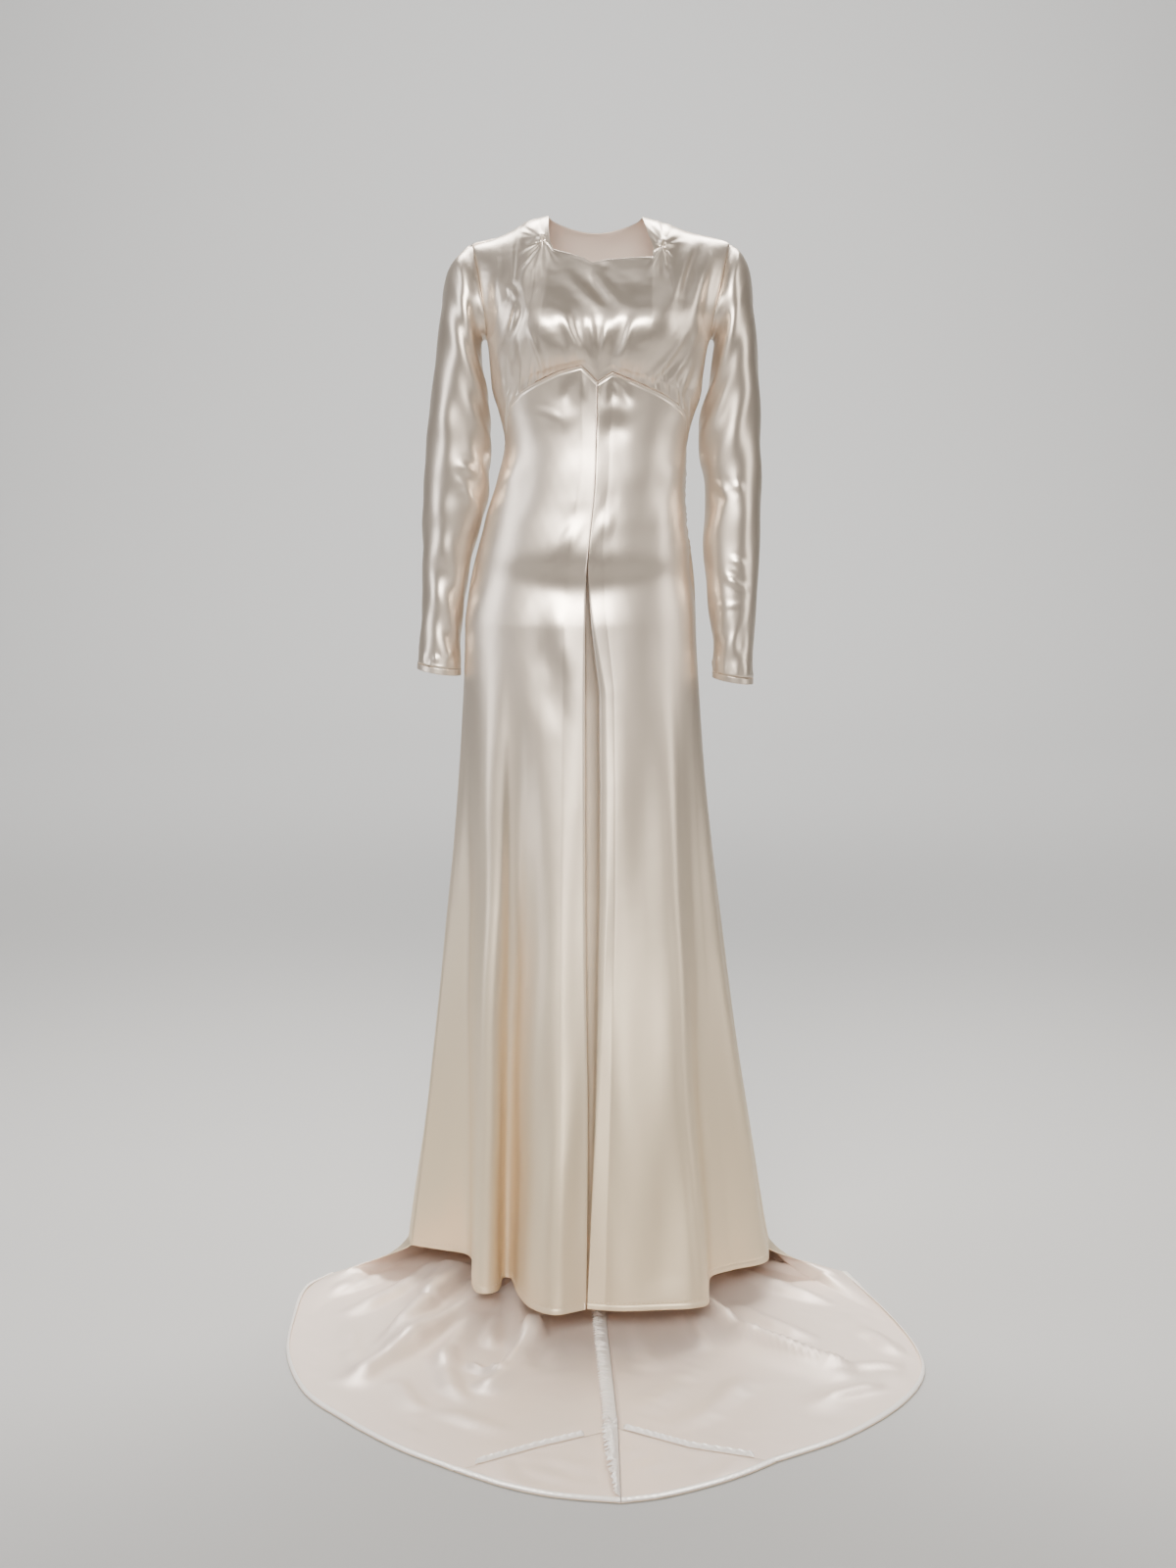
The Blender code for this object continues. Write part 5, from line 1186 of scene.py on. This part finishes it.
def linear(code):
    """A colour from its sRGB hex code."""
    part = [int(code[i:i + 2], 16) / 255 for i in (0, 2, 4)]
    return (*(c / 12.92 if c <= 0.04045 else ((c + 0.055) / 1.055) ** 2.4 for c in part), 1)


def add(tree, kind, settings=None, links=None):
    """Adds one node with its own settings and what feeds its inputs."""
    node = tree.nodes.new(kind)
    for key, value in (settings or {}).items():
        if isinstance(key, int):
            node.inputs[key].default_value = value
        else:
            setattr(node, key, value)
    for key, source in (links or {}).items():
        tree.links.new(source, node.inputs[key])
    return node


def finish_new(name):
    """A new material, its nodes and its Principled shader."""
    material = bpy.data.materials.new(name)
    material.use_nodes = True
    return material, material.node_tree, material.node_tree.nodes["Principled BSDF"]


def weave_bump(tree, strength):
    """The satin's fine lengthwise floats and the few thicker threads, drawn coarser than the real 0.1 mm."""
    grain = add(tree, "ShaderNodeUVMap", {"uv_map": "grain"})
    threads = add(tree, "ShaderNodeMapping", {3: (900.0, 90.0, 1.0)}, {0: grain.outputs[0]})
    floats = add(tree, "ShaderNodeTexNoise", {2: 1.0, 3: 2.0}, {0: threads.outputs[0]})
    wide = add(tree, "ShaderNodeMapping", {3: (26.0, 210.0, 1.0)}, {0: grain.outputs[0]})
    slubs = add(tree, "ShaderNodeTexNoise", {2: 1.0, 3: 3.0}, {0: wide.outputs[0]})
    both = add(tree, "ShaderNodeMath", {"operation": "MULTIPLY_ADD", 1: 0.5}, {0: slubs.outputs[0], 2: floats.outputs[0]})
    return add(tree, "ShaderNodeBump", {0: strength, 1: 0.0002}, {"Height": both.outputs[0]})


def satin_right_side():
    """Silk satin, right side out: long floats give a bright sheen across the grain and a soft deep shade."""
    material, tree, shader = finish_new("silk_satin")
    place = add(tree, "ShaderNodeTexCoord")
    parts = add(tree, "ShaderNodeSeparateXYZ", links={0: place.outputs["Object"]})
    down = add(tree, "ShaderNodeMapRange", {1: -0.55, 2: -1.25}, {0: parts.outputs["Z"]})
    ramp = add(tree, "ShaderNodeMix", {"data_type": "RGBA", 6: linear("DDCFBF"), 7: linear("E2D0B2")}, {0: down.outputs[0]})
    bump = weave_bump(tree, 0.16)
    grain = add(tree, "ShaderNodeTangent", {"direction_type": "UV_MAP", "uv_map": "grain"})
    sheen = add(tree, "ShaderNodeMapRange", {1: -0.50, 2: -1.00, 3: 0.34, 4: 0.45}, {0: parts.outputs["Z"]})
    tree.links.new(ramp.outputs[2], shader.inputs["Base Color"])
    tree.links.new(sheen.outputs[0], shader.inputs["Roughness"])
    tree.links.new(bump.outputs[0], shader.inputs["Normal"])
    tree.links.new(grain.outputs[0], shader.inputs["Tangent"])
    shader.inputs["Metallic"].default_value = 0.84
    shader.inputs["IOR"].default_value = 1.5
    shader.inputs["Anisotropic"].default_value = 0.45
    return material


def satin_wrong_side(name, colour, metallic, roughness):
    """Silk satin, wrong side out: pinker, and duller than outside, but still with a soft gleam along its folds. Made
    near-white, it also serves the turned strips, whose colour is partly a painted sheen.
    """
    material, tree, shader = finish_new(name)
    bump = weave_bump(tree, 0.2)
    tree.links.new(bump.outputs[0], shader.inputs["Normal"])
    shader.inputs["Base Color"].default_value = linear(colour)
    shader.inputs["Metallic"].default_value = metallic
    shader.inputs["Roughness"].default_value = roughness
    shader.inputs["IOR"].default_value = 1.5
    return material


def sewing_thread():
    """Silk sewing thread, a little lighter and duller than the satin."""
    material, tree, shader = finish_new("silk_thread")
    shader.inputs["Base Color"].default_value = linear("EADFCB")
    shader.inputs["Metallic"].default_value = 0.2
    shader.inputs["Roughness"].default_value = 0.5
    return material


def stage_surface():
    """The pale floor that runs up into a plain wall in one even sweep."""
    turn = np.linspace(0, math.pi / 2, 60)
    sweep = np.stack([5.5 + 3.0 * np.sin(turn), 3.0 - 3.0 * np.cos(turn)], axis=-1)
    fine = np.concatenate([[(-1.7, 0)], sweep, [(8.5, 7.0)]])
    x = np.array((-9.0, 9.0))
    grid = points(x[None], fine[:, :1], fine[:, 1:])
    cloud = grid.reshape(-1, 3) - (0, 0, SHOULDER_HEIGHT + 0.0005)
    faces = [(2 * r, 2 * r + 1, 2 * r + 3, 2 * r + 2) for r in range(len(fine) - 1)]
    mesh = bpy.data.meshes.new("backdrop")
    mesh.from_pydata(cloud, [], faces)
    mesh.shade_smooth()
    material, tree, shader = finish_new("matt_paper")
    shader.inputs["Base Color"].default_value = linear("B8B7B5")
    shader.inputs["Roughness"].default_value = 0.9
    mesh.materials.append(material)
    piece = bpy.data.objects.new("backdrop", mesh)
    bpy.context.scene.collection.objects.link(piece)
    return piece


def lamp(name, place, aim, size, power, spread, colour):
    """A soft area light, its power in watts and its spread in degrees."""
    light = bpy.data.lights.new(name, "AREA")
    light.shape = "RECTANGLE"
    light.size, light.size_y = size
    light.energy = power
    light.spread = math.radians(spread)
    light.color = linear(colour)[:3]
    piece = bpy.data.objects.new(name, light)
    way = np.array(aim) - np.array(place)
    flat = math.hypot(way[0], way[1])
    piece.rotation_euler = (math.pi / 2 + math.atan2(way[2], flat), 0, math.atan2(-way[0], way[1]))
    piece.location = (place[0], place[1], place[2] - SHOULDER_HEIGHT)
    bpy.context.scene.collection.objects.link(piece)
    return piece


def studio():
    """Floor, light and camera."""
    lamps = [
        lamp("window", (-0.4, -4.7, 2.75), (0, 0, 1.1), (3.0, 1.4), 54, 50, "FFFBF6"),
        lamp("front_top", (0.0, -2.2, 3.7), (0, 0.0, 0.9), (4.0, 1.8), 7, 130, "FFFFFF"),
        lamp("behind", (0.0, 1.4, 3.1), (0, -0.35, 0.0), (3.0, 0.9), 60, 100, "FFFDFA"),
        lamp("side_right", (-2.6, -0.5, 1.6), (0, 0, 1.0), (0.9, 2.6), 16, 110, "FAFBFF"),
        lamp("side_left", (2.6, -0.6, 1.6), (0, 0, 1.0), (0.9, 2.6), 12, 110, "FFFAF4"),
        lamp("floor_light", (0.0, 3.2, 4.6), (0, 3.6, 0.0), (6.0, 1.6), 150, 110, "FFFFFF"),
        lamp("wall_light", (0.0, 4.6, 5.6), (0, 8.5, 1.6), (7.0, 1.0), 330, 120, "FFFFFF"),
    ]
    stage_surface()
    world = bpy.data.worlds.new("room")
    bpy.context.scene.world = world
    world.use_nodes = True
    tree = world.node_tree
    path = add(tree, "ShaderNodeLightPath")
    glow = add(tree, "ShaderNodeMapRange", {3: 0.04, 4: 0.62}, {0: path.outputs["Is Camera Ray"]})
    tree.nodes["Background"].inputs["Color"].default_value = linear("E9E6E2")
    tree.links.new(glow.outputs[0], tree.nodes["Background"].inputs["Strength"])
    lens = bpy.data.cameras.new("camera")
    lens.lens = CAMERA_LENS
    lens.sensor_width = 36
    camera = bpy.data.objects.new("camera", lens)
    camera.location = (CAMERA_PLACE[0], CAMERA_PLACE[1], CAMERA_PLACE[2] - SHOULDER_HEIGHT)
    camera.rotation_euler = (math.radians(90 - CAMERA_TILT), 0, 0)
    bpy.context.scene.collection.objects.link(camera)
    bpy.context.scene.camera = camera


def thread_stitches(name, runs, finish):
    """A row of stitches: each is a short raised float of thread, its ends sunk in the cloth."""
    corners, faces = [], []
    for place, way, out, length, width in runs:
        place, way, out = np.array(place), unit(np.array(way)), unit(np.array(out))
        beside = unit(np.cross(way, out))
        high = width * 0.9
        ring = [beside * width / 2, out * high, -beside * width / 2, -out * high / 2]
        first = len(corners)
        corners += [place - way * length / 2 - out * high / 2]
        corners += [place - way * length * 0.22 + side for side in ring]
        corners += [place + way * length * 0.22 + side for side in ring]
        corners += [place + way * length / 2 - out * high / 2]
        for k in range(4):
            after = (k + 1) % 4
            faces += [(first, first + 1 + after, first + 1 + k)]
            faces += [(first + 1 + k, first + 1 + after, first + 5 + after, first + 5 + k)]
            faces += [(first + 5 + k, first + 5 + after, first + 9)]
    mesh = bpy.data.meshes.new(name)
    mesh.from_pydata(np.array(corners) - (0, 0, SHOULDER_HEIGHT), [], faces)
    mesh.shade_smooth()
    mesh.materials.append(finish)
    piece = bpy.data.objects.new(name, mesh)
    bpy.context.scene.collection.objects.link(piece)
    return dress(piece, "satin_inside")


def stitch_run(line, out, pitch, length, width, lean=0.0, sideways=0.0):
    """Stitches along a line on the cloth, straight or leaning to and fro in a zigzag."""
    both, at = even(np.concatenate([line, out], axis=1), pitch)
    line, out = both[:, :3], unit(both[:, 3:])
    way = unit(np.gradient(line, axis=0))
    beside = np.cross(out, way)
    turn = np.where(np.arange(len(line)) % 2 == 0, 1.0, -1.0)[:, None]
    place = line + out * 0.0001 + beside * turn * sideways
    return [(p, w, o, length, width) for p, w, o in zip(place, way + beside * turn * lean, out)]


def seam_stitches(panels, thread):
    """The stitches along the front hem and the centre-front seam."""
    hem, centre = [], []
    for side, (grid, outward) in panels.items():
        row = int(np.argmin(np.abs(grid[:, 40, 2] - HEM_HEIGHT - FRONT_HEM_WIDTH - 0.001)))
        line, out = grid[row, 2:-TURNED], outward[row, 2:-TURNED]
        hem += stitch_run(line, out, 0.0062, 0.0026, 0.0007, lean=0.25)
        rows = (grid[:, -TURNED, 2] > 1.045) & (grid[:, -TURNED, 2] < 1.262)
        line, out = grid[rows, -TURNED] + (0.0016 * side, 0, 0), outward[rows, -TURNED - 1]
        centre += stitch_run(line, out, 0.0030, 0.0034, 0.0006, lean=0.75, sideways=0.0005)
    thread_stitches("front_hem_stitches", hem, thread)
    thread_stitches("centre_front_stitches", centre, thread)


def round_stitches(name, line, out, thread, pitch=0.0060, lean=0.0):
    """Stitches along one line, as one piece."""
    return thread_stitches(name, stitch_run(line, out, pitch, 0.0028, 0.0007, lean), thread)


def replace(node, piece):
    """Hides the plain solid that a finished piece stands in for."""
    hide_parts(node)


def main():
    """Builds the gown's finished pieces and its studio."""
    outside, thread = satin_right_side(), sewing_thread()
    inside = satin_wrong_side("silk_satin_inside", "F2E0D2", 0.30, 0.42)
    # The turned strips of the train: near-white, partly the satin's paler face turned up and partly a painted sheen
    # that lifts them above the cloth around
    sheen_painted_bands = satin_wrong_side("silk_satin_bands_painted_sheen", "FFF8F0", 0.20, 0.30)
    both = outside, inside
    replace("bodice_front", bodice_front(both))
    replace("bodice_back", bodice_back(both))
    panels = {}
    for word, side in (("right", -1), ("left", 1)):
        piece, *panels[side] = skirt_front("front_panel_" + word, side, both)
        replace("skirt_front_" + word, piece)
        replace("skirt_back_" + word, skirt_back("back_panel_" + word, side, both))
        replace("sleeve_" + word, sleeve("long_sleeve_" + word, side, both))
        replace("cuff_" + word, cuff("wrist_binding_" + word, side, both))
        replace("train_tip_" + word, train_tip("tip_piece_" + word, side, both))
        replace("piecing_allowance_" + word, piecing_allowance("piecing_edge_" + word, side, (sheen_painted_bands,)))
        piece, line, inner = train_hem("turned_hem_" + word, side, (sheen_painted_bands,))
        replace("train_hem_" + word, piece)
        sewn = inner + (line - inner) * 0.16 + (0, 0, 2 * CLOTH + SEAM_GAP + 0.0004)
        round_stitches("train_hem_stitches_" + word, sewn[6:-3], points(0 * sewn[6:-3, 0], 0, 1.0), thread)
    replace("back_seam_allowance", back_seam_allowance((sheen_painted_bands,)))
    seam_stitches(panels, thread)
    studio()


main()
